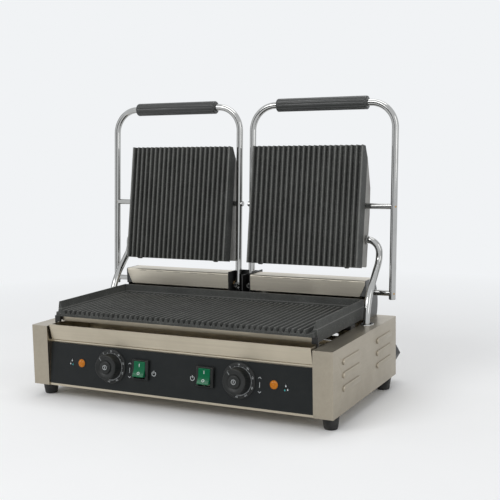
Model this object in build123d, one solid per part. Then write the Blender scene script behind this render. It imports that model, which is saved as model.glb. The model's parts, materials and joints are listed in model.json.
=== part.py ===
from build123d import *
import math
import os

# Double contact grill with two ribbed upper plates that swing down on a ribbed griddle.
# X runs left to right, -Y is the front with the controls, Z is up, in millimetres.
# The model is built about the middle of the housing and is moved at the end so that
# the centre of its overall box stands over the origin, with the feet on Z = 0.

# Housing
body_width = 570.0
body_depth = 305.0
body_height = 105.6
column_width = 33.0
sheet = 1.0
foot_height = 22.0
foot_inset_x = 15.0
foot_inset_y = 27.5
foot_top_r = 14.0
foot_bottom_r = 11.0

# Front panel, which leans back, measured up from the underside of the housing
panel_top_setback = 10.1
panel_bottom_setback = 1.7
panel_top_height = 76.2
panel_bottom_height = 2.0
overlay_thickness = 0.8
overlay_margin = 2.2

# Drip tray
tray_bottom_height = 81.5
tray_height = 26.9
tray_top_setback = 2.2
tray_bottom_setback = 8.3
tray_side_gap = 3.5
tray_length = 110.0
tray_rear_height = 14.0
tray_clearance = 0.4

# Griddle
griddle_side_gap = 2.5
griddle_front_setback = 20.1
griddle_rear_setback = 65.3
griddle_wall = 12.0
griddle_rear_wall = 4.8
griddle_taper = 1.9
wall_front_setback = 8.0
wall_bottom_height = 111.3
lip_under_height = 120.4
rib_top_height = 132.0
rim_height = 144.4
rib_depth = 7.0
rib_pitch = 10.0
rib_tip = 1.6
rib_root = 7.4
rib_end_run = 3.0
rear_channel = 9.0

# Upper plates
plate_size = 214.0
plate_lean = 9.28
plate_side_height = 26.0
plate_nose_height = 13.7
plate_nose_run = 18.2
plate_skin = 6.0
plate_wall = 7.0
cover_rear_height = 51.5
cover_crown_height = 53.8
cover_crown_at = -11.5
cover_shoulder_height = 50.3
cover_shoulder_at = 35.7
cover_wall = 2.0

# Lifting frames
hinge_setback = 32.3
hinge_height = 151.7
leg_inner_x = 13.8
leg_outer_gap = 3.4
rod_r = 6.0
frame_lean = 3.63
grip_distance = 332.3
leg_overhang = 11.0
frame_bend_r = 45.0
shaft_r = 5.0
pin_r = 5.0
pin_distance = 151.6
leg_plate_gap = 9.9
pin_above_face = 31.8
pin_above_centre = 2.8
grip_r = 12.0
grip_length = 174.0
grip_flutes = 14
running_gap = 0.05

# Swan-neck conduits
conduit_r = 6.0
conduit_bore_r = 4.8
conduit_end_u = -56.0
conduit_end_m = 40.0
conduit_hole_y = -60.2
conduit_from_edge = 23.0
conduit_below_top = 14.0
conduit_low_r = 100.0
conduit_low_start = -5.6
conduit_slope = 46.0
conduit_high_r = 30.0
slot_length = 19.0
slot_width = 14.0
guide_rim = 4.5

# Hinge covers and the bracket between them
cover_front = 95.7
cover_foot_height = 146.0
cover_top_height = 175.1
cover_inner_x = 23.2
cover_outer_x = 247.0
ear_thickness = 2.0
bracket_plate = 2.0

# Controls, measured down the panel from its top edge
dial_x = 122.5
dial_drop = 32.2
dial_r = 29.4
knob_r = 21.9
knob_height = 20.0
scale_start = 37.0
switch_x = 62.0
switch_drop = 32.0
switch_width = 32.0
switch_tall = 33.0
rocker_width = 21.2
rocker_tall = 27.0
rocker_tilt = 12.0
lamp_x = 184.0
lamp_drop = 32.5
lamp_r = 6.9
knob_gap = 0.6

# Cord gland on the back
gland_x = 264.0
gland_height = 32.0
gland_across_flats = 32.0
gland_length = 42.0
gland_thread_r = 12.5
gland_inside = 12.0
cord_r = 5.5

# Louvres in the sides
louvre_length = 76.0
louvre_tall = 10.5
louvre_raise = 2.4
louvre_pitch = 21.2
louvre_low = 38.0
louvre_centres_y = (-73.0, 85.0)

half_width = body_width / 2
front = -body_depth / 2
back = body_depth / 2
inner_half = half_width - column_width
floor_z = foot_height
top_z = floor_z + body_height
os.makedirs("parts", exist_ok=True)
made = {}


def put(name, *solids):
    made[name] = list(solids)


def block(x, y, z):
    return Pos((x[0] + x[1]) / 2, (y[0] + y[1]) / 2, (z[0] + z[1]) / 2) * Box(
        x[1] - x[0], y[1] - y[0], z[1] - z[0])


def outline(points, plane):
    return plane * make_face(Polyline(*points, close=True))


def along_x(points, x0, x1):
    plane = Plane(origin=(x0, 0, 0), x_dir=(0, 1, 0), z_dir=(1, 0, 0))
    return extrude(outline(points, plane), x1 - x0)


def along_y(points, y0, y1):
    plane = Plane(origin=(0, y0, 0), x_dir=(1, 0, 0), z_dir=(0, -1, 0))
    return extrude(outline(points, plane), y0 - y1)


def rod(start, end, radius):
    axis = Vector(*end) - Vector(*start)
    return Solid.make_cylinder(radius, axis.length, Plane(Vector(*start), z_dir=axis))


def pipe(path, radius):
    start = Plane(path @ 0, z_dir=path % 0)
    return sweep(start * Circle(radius), path)


def mirrored(solid):
    return mirror(solid, Plane.YZ)


def pair(name, solid):
    put(name + "_right", solid)
    put(name + "_left", mirrored(solid))


# Places that several pieces share
hinge_y = back - hinge_setback
hinge_z = floor_z + hinge_height
leg_outer_x = half_width + leg_outer_gap
plate_x = leg_inner_x + leg_plate_gap + plate_size / 2
lean = math.radians(frame_lean)


def on_frame(x, distance):
    """Point on the plane of the lifting frame, at a distance up from the hinge axis."""
    return (x, hinge_y + distance * math.sin(lean), hinge_z + distance * math.cos(lean))


tilt = math.radians(plate_lean)
pin_y, pin_z = on_frame(0, pin_distance)[1:]
face_y = pin_y - pin_above_centre * math.sin(tilt) - pin_above_face * math.cos(tilt)
face_z = pin_z - pin_above_centre * math.cos(tilt) + pin_above_face * math.sin(tilt)


def plate_place(x, u, m):
    """Point x across, u up along an upper plate and m behind the tips of its ribs."""
    return (x, face_y + u * math.sin(tilt) + m * math.cos(tilt),
            face_z + u * math.cos(tilt) - m * math.sin(tilt))


plate_plane = Plane(origin=(plate_x, face_y, face_z), x_dir=(1, 0, 0),
                    z_dir=(0, -math.cos(tilt), math.sin(tilt)))


def plate_prism(points, x0, x1):
    """Prism across an upper plate from an outline of (u, m) points."""
    side = Plane(origin=(plate_x + x0, face_y, face_z),
                 x_dir=(0, math.sin(tilt), math.cos(tilt)), z_dir=(-1, 0, 0))
    return extrude(outline(points, side), x0 - x1)


def plate_block(x, u, m):
    return plate_prism([(u[0], m[0]), (u[1], m[0]), (u[1], m[1]), (u[0], m[1])], *x)


panel_rise = panel_top_height - panel_bottom_height
panel_lean = math.atan2(panel_top_setback - panel_bottom_setback, panel_rise)
panel_plane = Plane(origin=(0, front + panel_top_setback, floor_z + panel_top_height),
                    x_dir=(1, 0, 0), z_dir=(0, -math.cos(panel_lean), math.sin(panel_lean)))
panel_length = math.hypot(panel_rise, panel_top_setback - panel_bottom_setback)


def on_panel(x, drop, out, shape):
    """Shape with its Z axis square to the panel, at a place down the panel."""
    return panel_plane * Pos(x, -drop, out) * shape


def standing(shape_r, low, high):
    return Pos(0, 0, low) * Cylinder(shape_r, high - low, align=(Align.CENTER, Align.CENTER, Align.MIN))


# Columns at the sides, folded from sheet, with raised louvres and the conduit slot
def louvre(y, z):
    face = Plane(origin=(half_width, y, z), x_dir=(0, 1, 0), z_dir=(1, 0, 0))
    shell = extrude(face * SlotOverall(louvre_length, louvre_tall), louvre_raise)
    shell = chamfer(shell.faces().sort_by(Axis.X)[-1].edges(), louvre_raise * 0.5)
    inside = extrude(face.offset(-sheet) * SlotOverall(louvre_length - 2.4 * sheet,
                     louvre_tall - 2.4 * sheet), sheet + louvre_raise - sheet)
    mouth = block((half_width + 0.001, half_width + louvre_raise + 1), (y - louvre_length / 2,
                  y + louvre_length / 2), (z - louvre_tall, z - louvre_tall / 2 + 1.4 * sheet))
    return shell, inside, mouth


conduit_x = half_width - conduit_from_edge
conduit_y = hinge_y + conduit_hole_y
slot_shift = 1.9


def conduit_slot(length, width, low, high):
    plane = Plane(origin=(conduit_x, conduit_y + slot_shift, low), x_dir=(0, 1, 0), z_dir=(0, 0, 1))
    return extrude(plane * SlotOverall(length, width), high - low)


gland_z = floor_z + gland_height
column = block((inner_half, half_width), (front, back - sheet), (floor_z, top_z))
column = fillet(column.edges().filter_by(Axis.Z).group_by(Axis.X)[-1], 1.6)
column -= block((inner_half + sheet, half_width - sheet), (front + sheet, back - 2 * sheet),
                (floor_z - 1, top_z - sheet))
column -= block((inner_half - 1, inner_half + 2 * sheet), (front + 45, back - 60),
                (floor_z + 8, floor_z + body_height - 40))
column -= conduit_slot(slot_length, slot_width, top_z - 2 * sheet, top_z + 1)
for louvre_y in louvre_centres_y:
    for row in range(3):
        shell, inside, mouth = louvre(louvre_y, floor_z + louvre_low + row * louvre_pitch)
        column = column + (shell - mouth) - inside
put("side_box_left", mirrored(column))
gland_hole = rod((gland_x, back - gland_inside - 1, gland_z), (gland_x, back + 2, gland_z), gland_thread_r)
put("side_box_right", column - gland_hole)

# Bottom cover with vent slots, between the walls of the housing
cover_gap = 0.5
bottom = block((-half_width + sheet + cover_gap, half_width - sheet - cover_gap),
               (front + sheet + cover_gap, back - 2 * sheet - cover_gap), (floor_z, floor_z + sheet))
for side in (-1, 1):
    bottom -= block((side * (inner_half + sheet / 2) - sheet, side * (inner_half + sheet / 2) + sheet),
                    (front, back), (floor_z - 1, floor_z + 2 * sheet))
bottom_strips = bottom.solids().sort_by(Axis.X)
floor_front = front + panel_bottom_setback + 6 * sheet
floor_sheet = bottom_strips[1] - block((-inner_half, inner_half), (front, floor_front), (0, top_z))
for row in range(5):
    for side in (-1, 1):
        vent = Plane(origin=(side * 110, -60 + row * 30, floor_z - 1)) * SlotOverall(90, 5)
        floor_sheet -= extrude(vent, 3 * sheet)
foot_places = [(sx * (half_width - foot_inset_x), sy * (back - foot_inset_y))
               for sx in (-1, 1) for sy in (-1, 1)]
screw_r = 2.5
side_strips = [bottom_strips[0], bottom_strips[2]]
for fx, fy in foot_places:
    hole = rod((fx, fy, floor_z - 1), (fx, fy, floor_z + 2), screw_r)
    side_strips = [strip - hole for strip in side_strips]
put("bottom_cover", floor_sheet, *[strip.solid() for strip in side_strips])

# Feet, and every screw that holds the housing together
foot_screw_seat = 8.0
feet = []
screws = []
for fx, fy in foot_places:
    foot = Pos(fx, fy, foot_height / 2) * Cone(foot_bottom_r, foot_top_r, foot_height)
    foot -= rod((fx, fy, -1), (fx, fy, foot_screw_seat), 6)
    foot -= rod((fx, fy, 0), (fx, fy, foot_height + 1), screw_r)
    feet.append(foot)
    head = rod((fx, fy, foot_screw_seat - 3.5), (fx, fy, foot_screw_seat), 4.5)
    screws.append(head + rod((fx, fy, foot_screw_seat), (fx, fy, floor_z + 4), screw_r))
put("feet", *feet)

# Back panel with its forward deck under the hinge
deck_front = cover_front - 3.7
rear = block((-half_width + sheet, half_width - sheet), (back - sheet, back), (floor_z, top_z))
rear += block((-inner_half, inner_half), (deck_front, back - sheet), (top_z - sheet, top_z))
rear -= gland_hole
for side in (-1, 1):
    for row in range(4):
        vent = Plane(origin=(side * 120, back + 1, floor_z + 35 + row * 14), x_dir=(1, 0, 0),
                     z_dir=(0, -1, 0))
        rear -= extrude(vent * SlotOverall(110, 5), 3 * sheet)
rear_screw_x = (-half_width + 12, -90, 90, half_width - 12)
for sx in rear_screw_x:
    for sz in (floor_z + 9, top_z - 12):
        head = Pos(sx, back, sz) * Rot(-90, 0, 0) * Cone(3.6, 2.6, 1.8, align=(
            Align.CENTER, Align.CENTER, Align.MIN))
        shank = rod((sx, back - 4 * sheet, sz), (sx, back, sz), 1.6)
        screws.append(head + shank)
        rear -= shank
        for name in ("side_box_left", "side_box_right"):
            if abs(sx) > inner_half:
                made[name] = [made[name][0] - shank]
put("rear_panel", rear)

# Front panel sheet: a leaning face with a rolled top that runs back as the tray shelf
shelf_top = floor_z + tray_bottom_height - tray_clearance
sheet_offset = overlay_thickness / math.cos(panel_lean)
sheet_top_y = front + panel_top_setback + sheet_offset
shelf_end = front + tray_bottom_setback + tray_length + 10
sheet_bottom_y = front + panel_bottom_setback + sheet_offset
lean_dy = math.tan(panel_lean)
low_y = sheet_bottom_y - lean_dy * panel_bottom_height
front_sheet = along_x([(low_y, floor_z), (sheet_top_y, floor_z + panel_top_height),
                       (sheet_top_y - 2.2, floor_z + panel_top_height + 1.6),
                       (sheet_top_y - 2.2, shelf_top - 1.2), (sheet_top_y - 1.0, shelf_top),
                       (shelf_end, shelf_top), (shelf_end, shelf_top - sheet),
                       (sheet_top_y + 2 * sheet, shelf_top - sheet),
                       (sheet_top_y + sheet, floor_z + panel_top_height),
                       (low_y + 2 * sheet, floor_z + 2.5 * sheet),
                       (low_y + 2 * sheet, floor_z)], -inner_half, inner_half)
overlay_half = inner_half - 0.6
overlay = panel_plane * Pos(0, -(panel_length - overlay_margin) / 2 - 0.3, -overlay_thickness / 2) * Box(
    2 * overlay_half, panel_length - overlay_margin, overlay_thickness)
stem_r = 3.0
through = 12.0
for side in (-1, 1):
    cuts = [on_panel(side * dial_x, dial_drop, 0, standing(stem_r + 2, -through, through)),
            on_panel(side * lamp_x, lamp_drop, 0, standing(lamp_r - 1, -through, through)),
            on_panel(side * switch_x, switch_drop, 0, Box(switch_width - 4, switch_tall - 4, 2 * through))]
    for cut in cuts:
        front_sheet -= cut
        overlay -= cut
put("front_panel", front_sheet)
put("panel_overlay", overlay)

# Drip tray: an open pan whose front face leans out at the top, with a turned-over edge
tray_half = inner_half - tray_side_gap
tray_z = floor_z + tray_bottom_height
tray_top = tray_z + tray_height
tray_front_low = front + tray_bottom_setback
tray_front_top = front + tray_top_setback
tray_end = tray_front_low + tray_length
hem = 3.0
tray = along_x([(tray_front_low, tray_z), (tray_front_top, tray_top), (tray_front_top + hem, tray_top),
                (tray_front_top + hem, tray_top - sheet),
                (tray_front_top + 1.25 * sheet, tray_top - sheet),
                (tray_front_low + sheet, tray_z + sheet), (tray_end - sheet, tray_z + sheet),
                (tray_end - sheet, tray_z + tray_rear_height), (tray_end, tray_z + tray_rear_height),
                (tray_end, tray_z)], -tray_half, tray_half)
tray_wall_level = 30.0
wall_outline = [(tray_front_low + sheet / 2, tray_z + sheet / 2),
                (tray_front_top + sheet, tray_top - sheet / 2),
                (tray_front_top + tray_wall_level, tray_top - sheet / 2),
                (tray_end - sheet / 2, tray_z + tray_rear_height),
                (tray_end - sheet / 2, tray_z + sheet / 2)]
for side in (-1, 1):
    near, far = sorted((side * tray_half, side * (tray_half - sheet)))
    tray += along_x(wall_outline, near, far)
put("drip_tray", tray)

# Griddle: one casting with front-to-back ribs, side and rear walls, and an open front lip
griddle_half = inner_half - griddle_side_gap
griddle_front = front + griddle_front_setback
griddle_rear = back - griddle_rear_setback
cook_half = griddle_half - griddle_wall
lip_z = floor_z + lip_under_height
rib_top = floor_z + rib_top_height
valley = rib_top - rib_depth
rim_z = floor_z + rim_height
skirt_z = floor_z + wall_bottom_height
cook_rear = griddle_rear - griddle_rear_wall


def comb(half, low, root, tip_z):
    """Outline of a ribbed slab: a flat underside and evenly pitched pointed ribs."""
    count = int((2 * half - 3) // rib_pitch)
    first = -(count - 1) * rib_pitch / 2
    points = [(-half, low), (-half, root)]
    for index in range(count):
        middle = first + index * rib_pitch
        points += [(middle - rib_root / 2, root), (middle - rib_tip / 2, tip_z),
                   (middle + rib_tip / 2, tip_z), (middle + rib_root / 2, root)]
    return points + [(half, root), (half, low)]


griddle = along_y(comb(cook_half, lip_z, valley, rib_top), griddle_front, cook_rear)
rib_stop = cook_rear - rear_channel
griddle -= along_x([(rib_stop, valley), (rib_stop - rib_end_run, rib_top + 1), (cook_rear + 1, rib_top + 1),
                    (cook_rear + 1, valley)], -cook_half, cook_half)
wall_section = [(cook_half - 0.5, lip_z), (cook_half - 0.5, valley + 1), (cook_half + 3.6, rib_top - 0.8),
                (cook_half + 8.1, rim_z), (griddle_half - griddle_taper, rim_z),
                (griddle_half, skirt_z), (griddle_half - 5, skirt_z), (griddle_half - 5, lip_z)]
wall_front = griddle_front + wall_front_setback
side_wall = along_y(wall_section, wall_front, griddle_rear)
wall_slope = along_x([(wall_front - 1, rim_z + 1), (wall_front + 3.5, rim_z + 1), (wall_front - 1, skirt_z)],
                     inner_half - 40, inner_half)
side_wall -= wall_slope
lip_end = along_y([(cook_half - 1, lip_z), (cook_half - 1, valley), (griddle_half - 4, valley + 3),
                   (griddle_half - 3, lip_z)], griddle_front, wall_front + 2)
griddle += [side_wall, mirrored(side_wall), lip_end, mirrored(lip_end)]
griddle += along_x([(cook_rear - 1, lip_z), (cook_rear - 1, valley), (cook_rear + 0.6, rim_z),
                    (griddle_rear, rim_z), (griddle_rear + 0.8, skirt_z), (griddle_rear - 4, skirt_z),
                    (griddle_rear - 4, lip_z)], -griddle_half + 6, griddle_half - 6)
put("lower_plate", griddle)

# Heating elements under the griddle, the insulation below them and the pan that holds it
element_r = 3.2
element_bend_r = 18.0


def serpentine(half_x, low_y, high_y):
    """Path of a tubular element: four runs front to back joined by round bends."""
    step = 2 * half_x / 3
    points = []
    for index in range(4):
        x = -half_x + index * step
        ends = (low_y, high_y) if index % 2 else (high_y, low_y)
        points += [(x, ends[0], 0), (x, ends[1], 0)]
    return FilletPolyline(*points, radius=element_bend_r)


element_z = lip_z - element_r - 0.15
elements = []
for side in (-1, 1):
    path = Pos(side * cook_half / 2, 0, element_z) * serpentine(cook_half / 2 - 28, griddle_front + 25,
                                                               cook_rear - 22)
    elements.append(pipe(path, element_r))
put("lower_heaters", *elements)
pan_half = griddle_half - 9.5
pan_z = skirt_z - 0.3
pad_z = pan_z + sheet
put("insulation_pad", block((-pan_half + 3, pan_half - 3), (wall_front + 4, griddle_rear - 8),
                            (pad_z, element_z - element_r - 0.2)))
pan = block((-pan_half, pan_half), (wall_front + 2, griddle_rear - 6), (pan_z, lip_z))
pan -= block((-pan_half + sheet, pan_half - sheet), (wall_front + 2 + sheet, griddle_rear - 6 - sheet),
             (pad_z, lip_z + 1))
put("heater_pan", pan)

# Blocks on the columns that the griddle stands on
bracket_reach = 11.0
bracket_long = 10.5
brackets = []
for side in (-1, 1):
    for y0, seat, low in ((griddle_front + 3.4, lip_z, tray_top + 1),
                          (griddle_rear - 75, skirt_z, tray_top - 4)):
        long_y = bracket_long if seat == lip_z else 2 * bracket_long
        long_y = min(long_y, wall_front - y0 - 0.2) if seat == lip_z else long_y
        xs = sorted((side * (inner_half - bracket_reach), side * inner_half))
        foot_xs = sorted((side * (inner_half - 2.8), side * inner_half))
        brackets.append(block(xs, (y0, y0 + long_y), (low, seat))
                        + block(foot_xs, (y0, y0 + long_y), (low - 16, low)))
put("plate_brackets", *brackets)

# Hinge housing: a channel on the deck, two folded covers, dark end ears, a centre bracket
spring_r = shaft_r + 4.5
beam_top = hinge_z - spring_r - 1.2
beam_front = cover_front + 4.3
beam_back = back - 8
beam = block((-cover_outer_x, cover_outer_x), (beam_front, beam_back), (top_z, beam_top))
beam_wall = 2.0
beam -= block((-cover_outer_x - 1, cover_outer_x + 1), (beam_front + beam_wall, beam_back - beam_wall),
              (top_z - 1, beam_top - beam_wall))
put("hinge_beam", beam)
cover_top = floor_z + cover_top_height


def hood_face(x, inset):
    """Section of the hinge hood: upright front, flat top and a rounded back."""
    low = floor_z + cover_foot_height
    front_y = cover_front + inset
    top = cover_top - inset
    back_top = Vector(hinge_y + 16, top)
    back_mid = Vector(back + 3.5 - inset, hinge_z - 10)
    back_low = Vector(back - 0.6 - inset, top_z)
    edges = [Line((front_y, low), (front_y, top - 2)), Line((front_y, top - 2), (front_y + 2, top)),
             Line((front_y + 2, top), back_top), ThreePointArc(back_top, back_mid, back_low),
             Line(back_low, (back - 7.4, top_z)), Line((back - 7.4, top_z), (back - 7.4, low)),
             Line((back - 7.4, low), (front_y, low))]
    return Plane(origin=(x, 0, 0), x_dir=(0, 1, 0), z_dir=(1, 0, 0)) * make_face(edges)


hood = extrude(hood_face(cover_inner_x, 0), cover_outer_x - cover_inner_x)
hollow = extrude(hood_face(cover_inner_x, sheet), cover_outer_x - cover_inner_x)
lower_cut = block((cover_inner_x - 1, cover_outer_x + 1), (cover_front + sheet, back - 7.4),
                  (floor_z + cover_foot_height - 1, floor_z + cover_foot_height + sheet))
hood = hood - hollow - lower_cut
hood -= block((cover_inner_x - 1, cover_outer_x + 1), (back - 8, back - 1.6 - sheet),
              (top_z - 1, floor_z + cover_foot_height))
slant_run = 11.0
slant = along_y([(cover_outer_x - slant_run, floor_z + cover_foot_height - 1),
                 (cover_outer_x + 1, cover_top - 5),
                 (cover_outer_x + 1, floor_z + cover_foot_height - 1)],
                cover_front - 1, cover_front + 2 * sheet)
pair("hinge_cover", hood.solids().sort_by(SortBy.VOLUME)[-1] - slant)

bush_r = shaft_r + 2.0
ear = extrude(hood_face(cover_outer_x, 0), ear_thickness)
ear += block((cover_outer_x, cover_outer_x + ear_thickness), (beam_front, back - 7.4),
             (top_z, floor_z + cover_foot_height + 1))
flange = block((cover_outer_x - slant_run - 2, cover_outer_x + ear_thickness),
               (cover_front + 1.2, cover_front + 2.7),
               (floor_z + cover_foot_height + 1.2, cover_top - 4))
ear = ear + flange
bush_hole = rod((0, hinge_y, hinge_z), (leg_outer_x, hinge_y, hinge_z), bush_r)
pair("hinge_ear", ear - bush_hole)

cheek = block((cover_inner_x - 0.2 - bracket_plate, cover_inner_x - 0.2), (cover_front + 0.3, back - 3),
              (top_z, cover_top + 2.5)) - bush_hole
bracket = cheek + mirrored(cheek)
bracket += block((-cover_inner_x + 0.2, cover_inner_x - 0.2), (hinge_y + 14, hinge_y + 14 + bracket_plate),
                 (top_z, cover_top + 2.5))
bracket += block((-cover_inner_x + 0.2, cover_inner_x - 0.2), (cover_front + 0.3, hinge_y + 15),
                 (top_z, floor_z + cover_foot_height - 12))
bracket += block((-1.2, 1.2), (hinge_y - 12, hinge_y + 15), (top_z, cover_top - 4))
beam_gap = block((-cover_inner_x - 0.2, cover_inner_x + 0.2), (0, back + 10), (top_z - 5, beam_top + 5))
made["hinge_beam"] = [s for s in (beam - beam_gap).solids()]
put("hinge_bracket", bracket)
bushes = []
for side in (-1, 1):
    for near, far in ((cover_inner_x - 0.2 - bracket_plate - 1, cover_inner_x - 0.2),
                      (cover_outer_x, cover_outer_x + ear_thickness + 1.5)):
        start = (side * near, hinge_y, hinge_z)
        end = (side * far, hinge_y, hinge_z)
        bushes.append(rod(start, end, bush_r) - rod(start, end, shaft_r + running_gap))
put("hinge_bushes", *bushes)
spring_length = 120.0
spring_start = 60.0
springs = []
for side in (-1, 1):
    start = (side * spring_start, hinge_y, hinge_z)
    end = (side * (spring_start + spring_length), hinge_y, hinge_z)
    coil = rod(start, end, spring_r) - rod(start, end, shaft_r + 1.2)
    leg_xs = sorted((side * spring_start, side * (spring_start + 3)))
    coil += block(leg_xs, (hinge_y + shaft_r + 2, hinge_y + shaft_r + 5), (beam_top, hinge_z))
    springs.append(coil)
put("torsion_springs", *springs)

# Oval guides around the conduit slots
guides = []
for side in (-1, 1):
    guide = conduit_slot(slot_length + 2 * guide_rim, slot_width + 2 * guide_rim, top_z, top_z + 1.6)
    guide = chamfer(guide.faces().sort_by(Axis.Z)[-1].edges(), 0.8)
    guide -= conduit_slot(slot_length, slot_width, top_z - 1, top_z + 3)
    guides.append(guide if side > 0 else mirrored(guide))
put("conduit_guides", *guides)

# Thermostats, dials and knobs
thermostat_gap = overlay_thickness + sheet
bezel_height = 2.2
for side, word in ((-1, "left"), (1, "right")):
    body = on_panel(side * dial_x, dial_drop, 0, Pos(0, 0, -thermostat_gap - 14) * Box(42, 34, 24))
    body += on_panel(side * dial_x, dial_drop, 0, standing(stem_r + 1.9, -thermostat_gap - 3, 0.4))
    body -= on_panel(side * dial_x, dial_drop, 0, standing(stem_r + running_gap, -thermostat_gap - 14, 2))
    put("thermostat_" + word, body)
    stem = standing(stem_r, -thermostat_gap - 13.5, knob_height - 6)
    flat = Pos(0, stem_r + 3.2, knob_height - 9) * Box(12, 8, 12)
    put("thermostat_shaft_" + word, on_panel(side * dial_x, dial_drop, 0, stem - flat))
    bezel = standing(dial_r, 0, bezel_height)
    bezel = chamfer(bezel.edges().sort_by(Axis.Z)[-1], 1.2) - standing(knob_r - 6, -1, bezel_height + 1)
    put("dial_bezel_" + word, on_panel(side * dial_x, dial_drop, 0, bezel))
    low = bezel_height + knob_gap
    knob = standing(knob_r, low, knob_height)
    knob = chamfer(knob.edges().sort_by(Axis.Z)[-1], 1.6)
    knob -= standing(knob_r - 3, low - 1, low + 4)
    knob += standing(stem_r + 3.5, low, low + 5)
    for index in range(18):
        angle = math.radians(index * 20 + 10)
        groove = Pos((knob_r + 1.1) * math.cos(angle), (knob_r + 1.1) * math.sin(angle), 0)
        knob -= groove * standing(2.0, low + 3, knob_height - 2.2)
    knob -= Rot(0, 0, scale_start) * Pos(0, knob_r - 3.2, knob_height) * Box(2.0, 8.0, 1.4)
    knob -= standing(stem_r, low - 1, knob_height - 6) - flat
    put("knob_" + word, on_panel(side * dial_x, dial_drop, 0, knob))

# Rocker switches
housing_proud = 6.0
rocker_gap = 0.45
pivot_out = 2.0
pivot_r = 1.6
pivot_reach = 1.3
pivot_play = 0.15
for side, word in ((-1, "left"), (1, "right")):
    housing = Pos(0, 0, housing_proud / 2) * Box(switch_width, switch_tall, housing_proud)
    housing = chamfer(housing.faces().sort_by(Axis.Z)[-1].edges(), 1.4)
    housing += Pos(0, 0, -11) * Box(switch_width - 4, switch_tall - 4, 22)
    housing -= Pos(0, 0, 0) * Box(rocker_width + 2 * rocker_gap, rocker_tall + 2 * rocker_gap + 1.6, 20)
    pivot_half = rocker_width / 2 + pivot_reach
    housing -= rod((-pivot_half - pivot_play, 0, pivot_out), (pivot_half + pivot_play, 0, pivot_out),
                   pivot_r + pivot_play)
    put("switch_housing_" + word, on_panel(side * switch_x, switch_drop, 0, housing))
    half = rocker_tall / 2
    side_face = Plane(origin=(-rocker_width / 2, 0, pivot_out), x_dir=(0, 1, 0), z_dir=(1, 0, 0))
    rocker_edge = [(-half, 7.6), (0, 4.6), (half, 7.6), (half - 2.2, -1.0), (4, -7.0), (-4, -7.0),
                   (2.2 - half, -1.0)]
    rocker = extrude(outline(rocker_edge, side_face), rocker_width)
    rocker = fillet(rocker.edges().filter_by(Axis.X).group_by(Axis.Z)[-1], 1.0)
    rocker += rod((-pivot_half, 0, pivot_out), (pivot_half, 0, pivot_out), pivot_r)
    rocker = Pos(0, 0, pivot_out) * Rot(-rocker_tilt, 0, 0) * Pos(0, 0, -pivot_out) * rocker
    put("rocker_" + word, on_panel(side * switch_x, switch_drop, 0, rocker))

# Signal lamps
lenses = []
bodies = []
for side in (-1, 1):
    lens = standing(lamp_r, 0, 2.4)
    lens = fillet(lens.edges().sort_by(Axis.Z)[-1], 1.5)
    lenses.append(on_panel(side * lamp_x, lamp_drop, 0, lens))
    bodies.append(on_panel(side * lamp_x, lamp_drop, 0, standing(lamp_r - 1.1, -20, 0)))
put("lamp_lenses", *lenses)
put("lamp_bodies", *bodies)

# Cord gland through the back panel, its domed nut, and the terminal block inside
gland_flange = 6.0
gland_axis = Plane(origin=(gland_x, back, gland_z), x_dir=(1, 0, 0), z_dir=(0, 1, 0))
hexagon = RegularPolygon(gland_across_flats / 2, 6, major_radius=False)
flange_hex = extrude(gland_axis * hexagon, gland_flange)
barrel = gland_axis * standing(gland_thread_r, -gland_inside, gland_flange + 12)
gland = flange_hex + barrel - gland_axis * standing(cord_r + 2, -gland_inside - 1, gland_flange + 13)
put("cord_gland", gland)
nut = extrude(gland_axis.offset(gland_flange + 0.6) * hexagon, gland_length - gland_flange - 10.6)
nut += gland_axis * Pos(0, 0, gland_length - 10 - 0.001) * Cone(
    gland_across_flats / 2 - 0.4, cord_r + 3.4, 10, align=(Align.CENTER, Align.CENTER, Align.MIN))
nut -= gland_axis * standing(gland_thread_r, gland_flange, gland_flange + 12.2)
nut -= gland_axis * standing(cord_r, gland_flange, gland_length + 1)
put("gland_nut", nut)
terminal = block((150, 215), (back - 45, back - 25), (floor_z + sheet, floor_z + 22))
for index in range(5):
    terminal -= rod((156 + index * 13, back - 35, floor_z + 12), (156 + index * 13, back - 35, floor_z + 23), 3.2)
put("terminal_block", terminal)
put("body_screws", *screws)

# Lifting frames: one bent bar each, with its shaft, screws, plate pins and fluted grip
leg_low_out = on_frame(leg_outer_x, -leg_overhang)
leg_low_in = on_frame(leg_inner_x, -leg_overhang)
frame_path = FilletPolyline(leg_low_out, on_frame(leg_outer_x, grip_distance),
                            on_frame(leg_inner_x, grip_distance), leg_low_in, radius=frame_bend_r)
bar = pipe(frame_path, rod_r)
shaft_inner_end = leg_inner_x - 3.0
shaft = rod((shaft_inner_end, hinge_y, hinge_z), (leg_outer_x + 2, hinge_y, hinge_z), shaft_r)
screw_head_front = hinge_y - 13.0
screw_seat = hinge_y - rod_r - 0.8
screw = rod((leg_inner_x, screw_seat, hinge_z), (leg_inner_x, hinge_y + 3.5, hinge_z), 2.5)
screw += rod((leg_inner_x, screw_head_front, hinge_z), (leg_inner_x, screw_seat, hinge_z), 4.2)
screw += rod((leg_inner_x, screw_seat, hinge_z), (leg_inner_x, screw_seat + 1.4, hinge_z), 5.2)
socket = extrude(Plane(origin=(leg_inner_x, screw_head_front, hinge_z), z_dir=(0, 1, 0))
                 * RegularPolygon(2.0, 6), 2.6)
screw -= socket
pin_depth = 14.0
outer_pin = rod((plate_x + plate_size / 2 - pin_depth, pin_y, pin_z), (leg_outer_x + 2, pin_y, pin_z), pin_r)
inner_pin = rod((leg_inner_x - rod_r - 2.4, pin_y, pin_z), (plate_x - plate_size / 2 + pin_depth, pin_y, pin_z),
                pin_r)
bar = bar - shaft - screw - outer_pin - inner_pin
shaft -= screw
pair("handle_frame", bar)
pair("hinge_shaft", shaft)
pair("hinge_screw", screw)
put("plate_pins_right", outer_pin, inner_pin)
put("plate_pins_left", mirrored(outer_pin), mirrored(inner_pin))
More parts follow.
